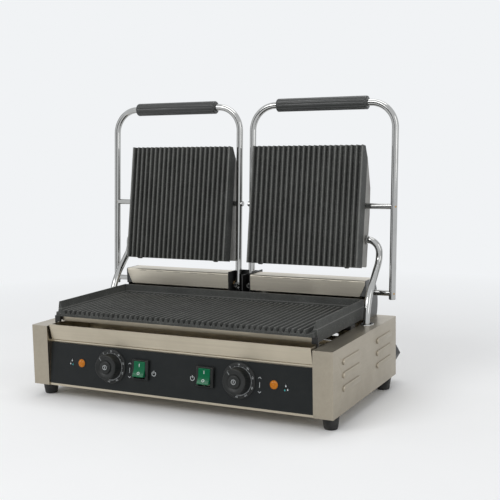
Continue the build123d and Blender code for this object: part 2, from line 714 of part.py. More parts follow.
grip_middle = (leg_inner_x + leg_outer_x) / 2
grip_start = on_frame(grip_middle - grip_length / 2, grip_distance)
grip_plane = Plane(origin=grip_start, x_dir=(0, 1, 0), z_dir=(1, 0, 0))
grip = grip_plane * standing(grip_r, 0, grip_length)
grip = chamfer(grip.edges().filter_by(GeomType.CIRCLE), 2.0)
flute_r = 1.9
flute_end = 3.5
flutes = [Pos((grip_r + 0.9) * math.cos(a), (grip_r + 0.9) * math.sin(a), 0)
          * standing(flute_r, flute_end, grip_length - flute_end)
          for a in [2 * math.pi * index / grip_flutes for index in range(grip_flutes)]]
grip -= [grip_plane * flute for flute in flutes]
grip -= grip_plane * standing(rod_r, -1, grip_length + 1)
pair("grip", grip)

# Upper plates: a ribbed casting with lugs for the pins, an element, and a folded cover
half_plate = plate_size / 2
nose_at = half_plate - plate_nose_run
side_shape = [(-half_plate, 0), (half_plate, 0), (half_plate, plate_nose_height),
              (nose_at, plate_side_height), (-half_plate, plate_side_height)]
casting = plate_prism(side_shape, -half_plate, half_plate)
pocket_top = rib_depth + plate_skin
casting -= plate_prism([(-half_plate + plate_wall, pocket_top), (nose_at - 10, pocket_top),
                        (nose_at - 10, plate_side_height + 1),
                        (-half_plate + plate_wall, plate_side_height + 1)],
                       -half_plate + plate_wall, half_plate - plate_wall)
rib_count = int((plate_size - 3) // rib_pitch)
for index in range(rib_count - 1):
    middle = (index - (rib_count - 2) / 2) * rib_pitch
    floor_half = (rib_pitch - rib_root) / 2
    mouth_half = (rib_pitch - rib_tip) / 2
    groove = plate_plane * Plane.XZ * make_face(Polyline(
        (middle - floor_half, -rib_depth), (middle + floor_half, -rib_depth),
        (middle + mouth_half, 0), (middle - mouth_half, 0), close=True))
    casting -= extrude(groove, plate_size, both=True)
lug_thick = 9.0
for x0 in (-half_plate + plate_wall, half_plate - plate_wall - lug_thick):
    casting += plate_block((x0, x0 + lug_thick), (-14 + pin_above_centre, 14 + pin_above_centre),
                           (pocket_top - 1, pin_above_face + 9))
pin_bore = rod((0, pin_y, pin_z), (leg_outer_x, pin_y, pin_z), pin_r + running_gap)
casting -= pin_bore
bump_r = 3.0
for x in (-84.0, 84.0):
    bump_start = plate_place(plate_x + x, -half_plate + 1.0, 6)
    bump_end = plate_place(plate_x + x, -half_plate + 1.0, 18)
    casting += rod(bump_start, bump_end, bump_r)

cover_edge = [(-half_plate + 2, plate_side_height + 0.2), (-half_plate + 2, cover_rear_height),
              (conduit_end_u, cover_rear_height + 0.5), (cover_crown_at, cover_crown_height),
              (cover_shoulder_at, cover_shoulder_height), (nose_at, plate_side_height + 2.5),
              (nose_at, plate_side_height + 0.2)]
hood_solid = plate_prism(cover_edge, -half_plate + 0.6, half_plate - 0.6)
rear_corner = Vector(*plate_place(plate_x, -half_plate + 2, cover_rear_height))
outer_face = [edge for edge in hood_solid.edges().filter_by(Axis.X)
              if (edge.center() - rear_corner).length < 1]
hood_solid = fillet(outer_face, 4.0)
inner_edge = [(u + (cover_wall if u < 0 else -cover_wall), m) for u, m in
              ((cover_edge[0][0], plate_side_height - 1), (cover_edge[1][0], cover_rear_height - cover_wall))]
inner_edge += [(cover_crown_at, cover_crown_height - cover_wall),
               (cover_shoulder_at - 1, cover_shoulder_height - cover_wall),
               (nose_at - 2 * cover_wall, plate_side_height + 1.5),
               (nose_at - 2 * cover_wall, plate_side_height - 1)]
hood_solid -= plate_prism(inner_edge, -half_plate + 0.6 + cover_wall, half_plate - 0.6 - cover_wall)
pin_passage = rod((0, pin_y, pin_z), (leg_outer_x, pin_y, pin_z), pin_r + 0.8)
conduit_end = plate_place(plate_x + half_plate, conduit_end_u, conduit_end_m)
conduit_hole = rod((conduit_end[0] - 12, *conduit_end[1:]), (conduit_end[0] + 6, *conduit_end[1:]),
                   conduit_r + running_gap)
hood_solid = hood_solid - pin_passage - conduit_hole
cover_screw_places = [(sx * (half_plate - 9), u) for sx in (-1, 1) for u in (-half_plate + 9, nose_at - 14)]
upper_screws = []
for x, u in cover_screw_places:
    crown = cover_rear_height if u < 0 else (plate_side_height + 2.5 + (nose_at - u) * (
        cover_shoulder_height - plate_side_height - 2.5) / (nose_at - cover_shoulder_at))
    top_point = plate_place(plate_x + x, u, crown + 0.9)
    low_point = plate_place(plate_x + x, u, plate_side_height - 6)
    head_low = plate_place(plate_x + x, u, crown - 1.2)
    one = rod(low_point, head_low, 1.8) + rod(head_low, top_point, 3.4)
    upper_screws.append(one)
    hood_solid -= one
    casting -= one
pair("upper_cover", hood_solid)
pair("upper_plate", casting)
put("cover_screws_right", *upper_screws)
put("cover_screws_left", *[mirrored(one) for one in upper_screws])
upper_path = serpentine(half_plate - 34, -half_plate + 28, nose_at - 30)
upper_element = plate_plane * Pos(0, 0, -pocket_top - element_r - 0.15) * pipe(upper_path, element_r)
pair("upper_heater", upper_element)

# Swan-neck conduits, from inside a column up to the side of each upper plate's cover
slope = math.radians(conduit_slope)
low_y = conduit_y
low_z = top_z + conduit_low_start
first_y = low_y + conduit_low_r * (1 - math.cos(slope))
first_z = low_z + conduit_low_r * math.sin(slope)
high_y = conduit_end[1]
straight = (high_y - first_y - conduit_high_r * (1 - math.cos(slope))) / math.sin(slope)
second_y = first_y + straight * math.sin(slope)
second_z = first_z + straight * math.cos(slope)
third_z = second_z + conduit_high_r * math.sin(slope)
neck_r = min(conduit_end[2] - third_z, conduit_x - conduit_end[0] - 1)


def in_column(y, z):
    return Vector(conduit_x, y, z)


half_slope = slope / 2
lower_arc = ThreePointArc(
    in_column(low_y, low_z),
    in_column(low_y + conduit_low_r * (1 - math.cos(half_slope)),
              low_z + conduit_low_r * math.sin(half_slope)),
    in_column(first_y, first_z))
upper_arc = ThreePointArc(
    in_column(second_y, second_z),
    in_column(high_y - conduit_high_r * (1 - math.cos(half_slope)),
              third_z - conduit_high_r * math.sin(half_slope)),
    in_column(high_y, third_z))
neck_z = conduit_end[2] - neck_r
diagonal = neck_r * math.sin(math.pi / 4)
neck = ThreePointArc(
    in_column(high_y, neck_z),
    (conduit_x - neck_r + diagonal, high_y, neck_z + diagonal),
    (conduit_x - neck_r, high_y, conduit_end[2]))
conduit_edges = [Line(in_column(low_y, top_z - conduit_below_top), in_column(low_y, low_z)), lower_arc,
                 Line(in_column(first_y, first_z), in_column(second_y, second_z)), upper_arc]
if neck_z - third_z > 0.01:
    conduit_edges.append(Line(in_column(high_y, third_z), in_column(high_y, neck_z)))
conduit_edges += [neck, Line((conduit_x - neck_r, high_y, conduit_end[2]),
                             (conduit_end[0] - 10, high_y, conduit_end[2]))]
conduit_path = Wire(conduit_edges)
conduit = pipe(conduit_path, conduit_r) - pipe(conduit_path, conduit_bore_r)
collar_from = 0.4
collar_to = 3.4
collar = rod((conduit_end[0] + collar_from, *conduit_end[1:]), (conduit_end[0] + collar_to, *conduit_end[1:]),
             conduit_r + 1.8)
conduit += collar - rod((conduit_end[0], *conduit_end[1:]),
                        (conduit_end[0] + collar_to + 1, *conduit_end[1:]), conduit_bore_r)
pair("conduit", conduit)

# Move everything so that the overall box is centred over the origin, and write the files
boxes = [solid.bounding_box() for solids in made.values() for solid in solids]
middle_y = (min(box.min.Y for box in boxes) + max(box.max.Y for box in boxes)) / 2
for name, solids in made.items():
    moved = [Pos(0, -middle_y, 0) * part for solid in solids for part in solid.solids()]
    export_step(moved[0] if len(moved) == 1 else Compound(moved), f"parts/{name}.step")
print("nodes", len(made), "middle in Y", round(middle_y, 3))
print("hinge axis", round(hinge_y - middle_y, 3), round(hinge_z, 3))
print("plate pin", round(pin_y - middle_y, 3), round(pin_z, 3))
print("conduit end", [round(value, 3) for value in conduit_end], "neck radius", round(neck_r, 2))
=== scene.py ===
"""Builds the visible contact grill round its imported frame: castings, sheets, controls, frames and stage."""

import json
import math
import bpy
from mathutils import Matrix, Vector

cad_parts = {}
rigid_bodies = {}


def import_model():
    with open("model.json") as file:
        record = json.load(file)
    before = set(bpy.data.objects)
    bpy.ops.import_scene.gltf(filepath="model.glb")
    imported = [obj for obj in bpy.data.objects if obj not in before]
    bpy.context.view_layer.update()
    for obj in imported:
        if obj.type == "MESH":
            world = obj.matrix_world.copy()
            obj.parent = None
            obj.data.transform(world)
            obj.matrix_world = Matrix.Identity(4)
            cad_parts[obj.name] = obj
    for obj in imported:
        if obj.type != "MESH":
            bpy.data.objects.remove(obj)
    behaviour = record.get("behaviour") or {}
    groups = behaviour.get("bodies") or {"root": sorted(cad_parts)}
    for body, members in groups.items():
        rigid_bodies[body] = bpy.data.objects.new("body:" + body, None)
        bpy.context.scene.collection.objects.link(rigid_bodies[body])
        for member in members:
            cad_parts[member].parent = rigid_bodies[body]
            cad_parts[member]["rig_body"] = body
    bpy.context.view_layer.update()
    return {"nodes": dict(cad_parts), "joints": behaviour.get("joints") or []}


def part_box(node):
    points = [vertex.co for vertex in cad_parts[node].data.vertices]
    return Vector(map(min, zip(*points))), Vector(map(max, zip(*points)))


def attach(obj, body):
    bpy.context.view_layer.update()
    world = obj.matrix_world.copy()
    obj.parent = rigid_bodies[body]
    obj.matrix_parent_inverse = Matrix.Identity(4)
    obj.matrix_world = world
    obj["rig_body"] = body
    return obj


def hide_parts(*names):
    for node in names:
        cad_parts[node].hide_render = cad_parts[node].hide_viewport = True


bl_info = {
    "name": "Contact Grill",
    "version": (1, 0, 0),
    "blender": (4, 5, 0),
    "location": "View3D > Sidebar > Grill",
    "description": "Builds a double ribbed contact grill around its packed frame",
    "category": "Add Mesh",
}

import bmesh
import bpy
from mathutils import Matrix, Vector

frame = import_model()

MM = 0.001
SIDES = (("left", -1), ("right", 1))
SCALE_START, SCALE_STEP = math.radians(-37), math.radians(37)
RIM_ABOVE_TIPS = 12.4 * MM
SUNK = 0.4 * MM
JOINTS = {joint["name"]: joint for joint in frame["joints"]}


def sized(label, text, millimetres):
    """A length property; its default is given in millimetres."""
    return bpy.props.FloatProperty(name=label, description=text, default=millimetres * MM, unit="LENGTH")


def angled(label, text, degrees):
    """An angle property; its default is given in degrees."""
    return bpy.props.FloatProperty(
        name=label, description=text, default=math.radians(degrees), subtype="ANGLE")


def valued(label, text, default):
    """A property that is a plain number."""
    return bpy.props.FloatProperty(name=label, description=text, default=default)


def aimed(label, text, default):
    """A point in space, in metres."""
    return bpy.props.FloatVectorProperty(
        name=label, description=text, size=3, subtype="TRANSLATION", default=default)


def colour(label, text, default):
    """A colour property, as linear values."""
    return bpy.props.FloatVectorProperty(
        name=label, description=text, subtype="COLOR", size=3, min=0, max=1, default=default)


class GrillSizes(bpy.types.PropertyGroup):
    """Real sizes of the pieces that this script models."""

    rib_pitch: sized("Rib pitch", "From one cooking rib to the next", 10)
    rib_height: sized("Rib height", "From the groove floor to the rib tip", 7)
    rib_root: sized("Rib root", "Width of a rib at the groove floor", 7.4)
    rib_tip: sized("Rib tip", "Width of the flat on a rib", 1.6)
    griddle_wall: sized("Griddle side wall", "Width of the walls beside the ribs", 12)
    griddle_rear_wall: sized("Griddle rear wall", "Thickness of the wall behind the ribs", 4.8)
    rear_channel: sized("Rear channel", "Free floor between the ribs and the rear wall", 9)
    plate_size: sized("Upper plate", "Width and length of an upper plate", 214)
    plate_lean: angled("Upper plate lean", "Backward lean of the open upper plates", 9.28)
    pin_above_face: sized("Pin height", "From the rib tips of an upper plate to its pin", 31.8)
    pin_above_centre: sized("Pin offset", "From the middle of an upper plate to its pin", 2.8)
    plate_side_height: sized("Casting height", "Thickness of an upper casting at its sides", 26)
    plate_nose_height: sized("Nose height", "Thickness of an upper casting at its front edge", 13.7)
    plate_nose_run: sized("Nose run", "Length of the sloping front of an upper casting", 18.2)
    grip_radius: sized("Grip radius", "Over the ridges of the grip", 12)
    grip_flutes: bpy.props.IntProperty(
        name="Grip flutes", description="Grooves around a grip", default=11, min=3)
    rod_radius: sized("Bar radius", "Radius of the bent bar of a lifting frame", 6)
    dial_radius: sized("Dial radius", "Outer radius of the dial ring", 29.4)
    dial_height: sized("Dial height", "How far the dial ring stands off the panel", 2.2)
    knob_radius: sized("Knob radius", "Radius of the knob at its foot", 21.9)
    knob_height: sized("Knob height", "How far the knob stands off the panel", 20)
    lamp_radius: sized("Lamp radius", "Radius of a signal lamp", 6.9)
    rocker_tilt: angled("Rocker tilt", "Tilt of a rocker that is switched on", 12)
    print_depth: sized("Print thickness", "How far printed marks stand off their surface", 0.08)
    edge: sized("Folded edge", "Rounding of folded and cut sheet edges", 0.45)


class GrillColours(bpy.types.PropertyGroup):
    """Colours of the finishes, as linear values."""

    stainless: colour("Stainless", "Brushed stainless sheet", (0.53, 0.475, 0.375))
    # The column tone is the stainless painted darker, as painted shade, and the hinge cover tone is the
    # stainless painted lighter, as painted light.
    column: colour("Columns", "Brushed stainless of the side columns", (0.40, 0.358, 0.287))
    hood_painted_light: colour("Hinge covers", "Brushed stainless of the hinge covers", (0.68, 0.63, 0.53))
    chrome: colour("Chrome", "Plated bars and conduits", (0.46, 0.46, 0.45))
    iron: colour("Iron", "Groove floors of the castings", (0.050, 0.052, 0.049))
    # The lighter tip tone is a painted highlight on the flat rib tips and edges.
    iron_tip_highlight: colour("Iron tips", "Worn tips of the ribs", (0.235, 0.238, 0.226))
    plate_cover: colour("Plate cover", "Painted covers of the upper plates", (0.26, 0.256, 0.24))
    grip: colour("Grip", "Moulded grips", (0.036, 0.038, 0.037))
    knob: colour("Knob", "Knobs and dial rings", (0.012, 0.0135, 0.013))
    overlay: colour("Overlay", "Printed face of the panel", (0.008, 0.010, 0.0105))
    rocker: colour("Rocker", "Lit rocker switches", (0.001, 0.085, 0.034))
    lens: colour("Lens", "Signal lamps", (0.40, 0.125, 0.001))
    print_white: colour("White print", "Marks and numbers", (0.62, 0.65, 0.66))
    print_grey: colour("Grey print", "Scale of the dials", (0.20, 0.21, 0.215))
    print_teal: colour("Teal print", "Accents in the marks", (0.05, 0.36, 0.38))
    rubber: colour("Rubber", "Feet", (0.020, 0.020, 0.020))
    bracket: colour("Bracket", "Black painted bracket", (0.012, 0.012, 0.012))
    ear: colour("Ears", "Grey painted hinge ears", (0.085, 0.088, 0.088))


class GrillStage(bpy.types.PropertyGroup):
    """Camera, floor and lights."""

    camera_place: aimed("Camera", "Place of the camera", (0.80376, -1.45878, 0.45540))
    camera_aim: aimed("Aim", "Point at the middle of the picture", (0.07262, -0.01316, 0.25604))
    camera_roll: angled("Roll", "Turn of the camera about its view", -1.10)
    lens: valued("Lens", "Focal length in millimetres on a 36 mm sensor", 68.16)
    background: colour("Background", "Pale floor and backdrop", (0.880, 0.896, 0.913))
    fill: valued("Fill", "Strength of the even light from all round", 0.52)
    key_power: valued("Key", "Power of the large light over the camera", 28.0)
    side_power: valued("Side", "Power of the light at the right", 7.0)
    top_power: valued("Top", "Power of the overhead light", 16.0)


def sizes():
    return bpy.context.scene.grill_sizes


def colours():
    return bpy.context.scene.grill_colours


# Shapes, as pairs of points and faces


def lofted(rings, loop=False):
    """Skin over rings of points with equal counts, closed at both ends or joined into a loop."""
    count = len(rings[0])
    points = [point for ring in rings for point in ring]
    faces = []
    for row in range(len(rings) if loop else len(rings) - 1):
        a = row * count
        b = (row + 1) % len(rings) * count
        faces += [(a + i, a + (i + 1) % count, b + (i + 1) % count, b + i) for i in range(count)]
    if not loop:
        faces += [tuple(range(count))[::-1], tuple(range(len(points) - count, len(points)))]
    return points, faces


def circle(radius, height, sides, turn=0.0):
    """Ring of points round the Z axis; radius is a number or a function of the angle."""
    points = []
    for index in range(sides):
        angle = turn + 2 * math.pi * index / sides
        reach = radius(angle) if callable(radius) else radius
        points.append((reach * math.cos(angle), reach * math.sin(angle), height))
    return points


def turned(profile, sides=48):
    """Solid of revolution from (radius, height) pairs."""
    return lofted([circle(radius, height, sides) for radius, height in profile])


def washer(inner, outer, low, high, sides=64):
    """Flat ring with a square section."""
    section = ((inner, low), (outer, low), (outer, high), (inner, high))
    return lofted([circle(radius, height, sides) for radius, height in section], loop=True)


def sector(inner, outer, low, high, start, end, steps=40):
    """Part of a flat ring from angle start to end; inner and outer are pairs of first and last radius."""
    rings = []
    for index in range(steps + 1):
        share = index / steps
        angle = start + (end - start) * share
        near = inner[0] + (inner[1] - inner[0]) * share
        far = outer[0] + (outer[1] - outer[0]) * share
        rings.append([(reach * math.sin(angle), reach * math.cos(angle), height)
                      for reach, height in ((near, low), (far, low), (far, high), (near, high))])
    return lofted(rings)


def along_x(outline, x0, x1):
    """Prism along X from (y, z) points."""
    return lofted([[(x, y, z) for y, z in outline] for x in (x0, x1)])


def along_y(outline, y0, y1):
    """Prism along Y from (x, z) points."""
    return lofted([[(x, y, z) for x, z in outline] for y in (y0, y1)])


def along_z(outline, z0, z1):
    """Prism along Z from (x, y) points."""
    return lofted([[(x, y, z) for x, y in outline] for z in (z0, z1)])


def cuboid(x, y, z):
    return along_z([(x[0], y[0]), (x[1], y[0]), (x[1], y[1]), (x[0], y[1])], *z)


def placed(shape, matrix):
    points, faces = shape
    return [tuple(matrix @ Vector(point)) for point in points], faces


def flipped(shape):
    """The shape on the other side of the middle plane; build() turns its faces out again."""
    points, faces = shape
    return [(-x, y, z) for x, y, z in points], faces


def tube(path, radius, sides=32):
    """Round bar along a path of points, with its ends slightly eased."""
    path = [Vector(point) for point in path]
    ease = 0.12 * radius
    heading = (path[1] - path[0]).normalized()
    side = heading.orthogonal().normalized()
    rings = []
    for index, point in enumerate(path):
        before = path[max(index - 1, 0)]
        after = path[min(index + 1, len(path) - 1)]
        new_heading = (after - before).normalized()
        side = (heading.rotation_difference(new_heading) @ side).normalized()
        heading = new_heading
        other = heading.cross(side)
        if index == 0:
            ends = [(0, radius - ease), (ease, radius)]
        elif index == len(path) - 1:
            ends = [(-ease, radius), (0, radius - ease)]
        else:
            ends = [(0, radius)]
        for shift, reach in ends:
            centre = point + heading * shift
            rings.append([tuple(centre + reach * (side * math.cos(a) + other * math.sin(a)))
                          for a in [2 * math.pi * i / sides for i in range(sides)]])
    return lofted(rings)


def bent_path(corners, radius, steps=20):
    """Points along straight runs joined by round bends of one radius."""
    corners = [Vector(corner) for corner in corners]
    path = [corners[0]]
    for before, corner, after in zip(corners, corners[1:], corners[2:]):
        back = (before - corner).normalized()
        on = (after - corner).normalized()
        half = back.angle(on) / 2
        centre = corner + (back + on).normalized() * (radius / math.sin(half))
        start = corner + back * (radius / math.tan(half))
        spoke = start - centre
        axis = spoke.cross(corner + on * (radius / math.tan(half)) - centre).normalized()
        sweep = math.pi - 2 * half
        path += [centre + Matrix.Rotation(sweep * i / steps, 3, axis) @ spoke for i in range(steps + 1)]
    return path + [corners[-1]]


def bar(start, end, radius, sides=32):
    return tube([start, end], radius, sides)


# Pieces


def shade(mesh, sharp):
    """Smooth shading that keeps edges sharper than the given angle."""
    mesh.shade_smooth()
    mesh.set_sharp_from_angle(angle=sharp)


def linked(name, data):
    """New object in the scene."""
    made = bpy.data.objects.new(name, data)
    bpy.context.scene.collection.objects.link(made)
    return made


def piece(name, mesh, body, slot=None, stands_for=(), edge=0.0, sharp=math.radians(35)):
    """Puts a finished mesh into the scene as a piece that rides on a body."""
    mesh.name = name
    shade(mesh, sharp)
    made = linked(name, mesh)
    if edge:
        soften = made.modifiers.new("Edge", "BEVEL")
        soften.width = edge
        soften.segments = 2
        soften.limit_method = "ANGLE"
        soften.angle_limit = sharp
        soften.harden_normals = True
    if stands_for:
        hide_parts(*stands_for)
    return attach(made, body)


def mesh_of(shapes, look=None):
    """One mesh from several shapes, with its faces turned outwards."""
    points, faces = [], []
    for shape_points, shape_faces in shapes:
        start = len(points)
        points += shape_points
        faces += [tuple(start + i for i in face) for face in shape_faces]
    mesh = bpy.data.meshes.new("shape")
    mesh.from_pydata(points, [], faces)
    work = bmesh.new()
    work.from_mesh(mesh)
    bmesh.ops.recalc_face_normals(work, faces=work.faces)
    work.to_mesh(mesh)
    work.free()
    if look:
        mesh.materials.append(finish(look))
    return mesh


def build(name, shapes, look, body, **rest):
    """A piece made from shapes."""
    return piece(name, mesh_of(shapes, look), body, **rest)


def dressed(name, node, look, slot, edge=0.0, sharp=math.radians(35)):
    """A copy of a CAD node with joined faces and rounded edges, which stands for the node."""
    mesh = frame["nodes"][node].data.copy()
    mesh.materials.clear()
    mesh.materials.append(finish(look))
    join_distance = 2e-6
    flat_angle = math.radians(0.6)
    work = bmesh.new()
    work.from_mesh(mesh)
    bmesh.ops.remove_doubles(work, verts=work.verts, dist=join_distance)
    bmesh.ops.dissolve_limit(work, angle_limit=flat_angle, verts=work.verts, edges=work.edges)
    work.to_mesh(mesh)
    work.free()
    body = frame["nodes"][node]["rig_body"]
    return piece(name, mesh, body, slot=slot, stands_for=[node], edge=edge, sharp=sharp)


def painted(look, *nodes):
    """Gives CAD nodes that stay as they are a finish."""
    for name in nodes:
        materials = frame["nodes"][name].data.materials
        materials.clear()
        materials.append(finish(look))


def lettered(text, height, matrix, depth):
    """Mesh of a short line of type, centred on the matrix and standing off its XY plane."""
    curve = bpy.data.curves.new("type", "FONT")
    curve.body = text
    curve.size = height
    curve.align_x = "CENTER"
    curve.align_y = "CENTER"
    curve.extrude = depth / 2
    curve.resolution_u = 4
    holder = linked("type", curve)
    graph = bpy.context.evaluated_depsgraph_get()
    mesh = bpy.data.meshes.new_from_object(holder.evaluated_get(graph))
    mesh.transform(matrix)
    bpy.data.objects.remove(holder)
    bpy.data.curves.remove(curve)
    return mesh


def joined(name, meshes, look, body):
    """One piece from several meshes with the same finish."""
    work = bmesh.new()
    for mesh in meshes:
        work.from_mesh(mesh)
        bpy.data.meshes.remove(mesh)
    bmesh.ops.recalc_face_normals(work, faces=work.faces)
    mesh = bpy.data.meshes.new(name)
    work.to_mesh(mesh)
    work.free()
    mesh.materials.append(finish(look))
    for polygon in mesh.polygons:
        polygon.material_index = 0
    return piece(name, mesh, body)


# Geometry Nodes for what repeats


def node(tree, kind, inputs=None, **settings):
    """Adds a node; inputs maps socket names to values or to the sockets that feed them."""
    made = tree.nodes.new(kind)
    for key, value in settings.items():
        setattr(made, key, value)
    for key, value in (inputs or {}).items():
        if isinstance(value, bpy.types.NodeSocket):
            tree.links.new(value, made.inputs[key])
        else:
            made.inputs[key].default_value = value
    return made


def geometry_tree(name, inputs):
    """New Geometry Nodes tree with the given inputs; returns it with its group input node."""
    tree = bpy.data.node_groups.new(name, "GeometryNodeTree")
    tree.interface.new_socket("Geometry", in_out="INPUT", socket_type="NodeSocketGeometry")
    for label, kind in inputs:
        tree.interface.new_socket(label, in_out="INPUT", socket_type=kind)
    tree.interface.new_socket("Finish", in_out="INPUT", socket_type="NodeSocketMaterial")
    tree.interface.new_socket("Geometry", in_out="OUTPUT", socket_type="NodeSocketGeometry")
    return tree, tree.nodes.new("NodeGroupInput").outputs


def item_at(tree, points, item, turn=None):
    """Places the item object on every point, turned by a rotation socket if there is one."""
    source = node(tree, "GeometryNodeObjectInfo", {"Object": item})
    inputs = {"Points": points, "Instance": source.outputs["Geometry"]}
    if turn is not None:
        inputs["Rotation"] = turn
    return node(tree, "GeometryNodeInstanceOnPoints", inputs).outputs["Instances"]


def close_tree(tree, geometry, look):
    """Ends a tree in Realize Instances and Set Material."""
    real = node(tree, "GeometryNodeRealizeInstances", {"Geometry": geometry}).outputs[0]
    final = node(tree, "GeometryNodeSetMaterial", {"Geometry": real, "Material": look}).outputs[0]
    node(tree, "NodeGroupOutput", {"Geometry": final})
    return tree


def row_tree():
    """A base with a row of equal items on it, such as the ribs of a casting."""
    tree, given = geometry_tree("Row Of Items", (
        ("Item", "NodeSocketObject"), ("Count", "NodeSocketInt"), ("Start", "NodeSocketVector"),
        ("Pitch", "NodeSocketVector")))
    line = node(tree, "GeometryNodeMeshLine", {
        "Count": given["Count"], "Start Location": given["Start"], "Offset": given["Pitch"]})
    items = item_at(tree, line.outputs["Mesh"], given["Item"])
    both = tree.nodes.new("GeometryNodeJoinGeometry")
    tree.links.new(given["Geometry"], both.inputs[0])
    tree.links.new(items, both.inputs[0])
    return close_tree(tree, both.outputs[0], given["Finish"])


def ring_tree():
    """Items round the Z axis, counted clockwise from +Y, such as the ticks of a dial."""
    tree, given = geometry_tree("Ring Of Items", (
        ("Item", "NodeSocketObject"), ("Count", "NodeSocketInt"), ("Radius", "NodeSocketFloat"),
        ("First", "NodeSocketFloat"), ("Step", "NodeSocketFloat")))
    index = node(tree, "GeometryNodeInputIndex").outputs[0]
    angle = node(tree, "ShaderNodeMath", {0: index, 1: given["Step"], 2: given["First"]},
                 operation="MULTIPLY_ADD").outputs[0]
    across = node(tree, "ShaderNodeMath", {0: angle}, operation="SINE").outputs[0]
    up = node(tree, "ShaderNodeMath", {0: angle}, operation="COSINE").outputs[0]
    spoke = node(tree, "ShaderNodeCombineXYZ", {"X": across, "Y": up}).outputs[0]
    place = node(tree, "ShaderNodeVectorMath", {0: spoke, "Scale": given["Radius"]},
                 operation="SCALE").outputs[0]
    back = node(tree, "ShaderNodeMath", {0: angle, 1: -1.0}, operation="MULTIPLY").outputs[0]
    euler = node(tree, "ShaderNodeCombineXYZ", {"Z": back}).outputs[0]
    turn = node(tree, "FunctionNodeEulerToRotation", {0: euler}).outputs[0]
    points = node(tree, "GeometryNodePoints", {"Count": given["Count"], "Position": place}).outputs[0]
    return close_tree(tree, item_at(tree, points, given["Item"], turn), given["Finish"])


def scatter_tree():
    """Items on the corners of the base, each turned by the corner's own attribute, such as screws."""
    tree, given = geometry_tree("Items On Points", (("Item", "NodeSocketObject"),))
    stored = node(tree, "GeometryNodeInputNamedAttribute", {"Name": "turn"}, data_type="FLOAT_VECTOR")
    turn = node(tree, "FunctionNodeEulerToRotation", {0: stored.outputs[0]}).outputs[0]
    return close_tree(tree, item_at(tree, given["Geometry"], given["Item"], turn), given["Finish"])


TREES = {"row": row_tree, "ring": ring_tree, "scatter": scatter_tree}


def grown(kind, look, item, base=None, **values):
    """Runs one of the trees over a base mesh and returns the result as a plain mesh."""
    tree = bpy.data.node_groups.get("grill " + kind)
    if tree is None:
        tree = TREES[kind]()
        tree.name = "grill " + kind
    source = linked("item", item)
    holder = linked("holder", base or bpy.data.meshes.new("base"))
    values.update(Item=source, Finish=finish(look))
    modifier = holder.modifiers.new("Grow", "NODES")
    modifier.node_group = tree
    for socket in tree.interface.items_tree:
        if socket.in_out == "INPUT" and socket.name in values:
            modifier[socket.identifier] = values[socket.name]
    graph = bpy.context.evaluated_depsgraph_get()
    mesh = bpy.data.meshes.new_from_object(holder.evaluated_get(graph))
    bpy.data.objects.remove(holder)
    bpy.data.objects.remove(source)
    return mesh


def points_mesh(places):
    """Loose points with a turn attribute, from (place, euler) pairs."""
    mesh = bpy.data.meshes.new("points")
    mesh.from_pydata([tuple(place) for place, _ in places], [], [])
    turn = mesh.attributes.new("turn", "FLOAT_VECTOR", "POINT")
    for index, (_, euler) in enumerate(places):
        turn.data[index].vector = euler
    return mesh


# Shader node groups


def shader_group(name, inputs, outputs):
    """New shader group; returns it with the sockets of its input node and its output node."""
    tree = bpy.data.node_groups.new(name, "ShaderNodeTree")
    for label, kind in inputs:
        tree.interface.new_socket(label, in_out="INPUT", socket_type="NodeSocket" + kind)
    for label, kind in outputs:
        tree.interface.new_socket(label, in_out="OUTPUT", socket_type="NodeSocket" + kind)
    return tree, tree.nodes.new("NodeGroupInput").outputs, tree.nodes.new("NodeGroupOutput")


def deliver(tree, result, **values):
    """Links values to the outputs of a group."""
    for label, value in values.items():
        tree.links.new(value, result.inputs[label])


def maths(tree, operation, first, second=0.0, third=0.0):
    return node(tree, "ShaderNodeMath", {0: first, 1: second, 2: third}, operation=operation).outputs[0]


def span(tree, value, low, high, to_low=0.0, to_high=1.0):
    """Maps a value from one range to another and holds it at the ends."""
    return node(tree, "ShaderNodeMapRange", {
        "Value": value, "From Min": low, "From Max": high, "To Min": to_low, "To Max": to_high}).outputs[0]


def noise(tree, place, scale, detail=2.0, rough=0.5):
    return node(tree, "ShaderNodeTexNoise", {
        "Vector": place, "Scale": scale, "Detail": detail, "Roughness": rough}).outputs["Fac"]


def seen_share(tree):
    """One for what is seen or mirrored, nothing for light that falls on other pieces."""
    light = node(tree, "ShaderNodeLightPath").outputs
    seen = maths(tree, "MAXIMUM", light["Is Camera Ray"], light["Is Glossy Ray"])
    return maths(tree, "MAXIMUM", seen, light["Is Transmission Ray"])


def blended(tree, share, first, second, kind="MIX"):
    """Mixes two colours by a share, or by a fixed number."""
    mix = node(tree, "ShaderNodeMix", {"Factor": share}, data_type="RGBA", blend_type=kind)
    for socket, value in ((mix.inputs[6], first), (mix.inputs[7], second)):
        if isinstance(value, bpy.types.NodeSocket):
            tree.links.new(value, socket)
        else:
            socket.default_value = value
    return mix.outputs[2]


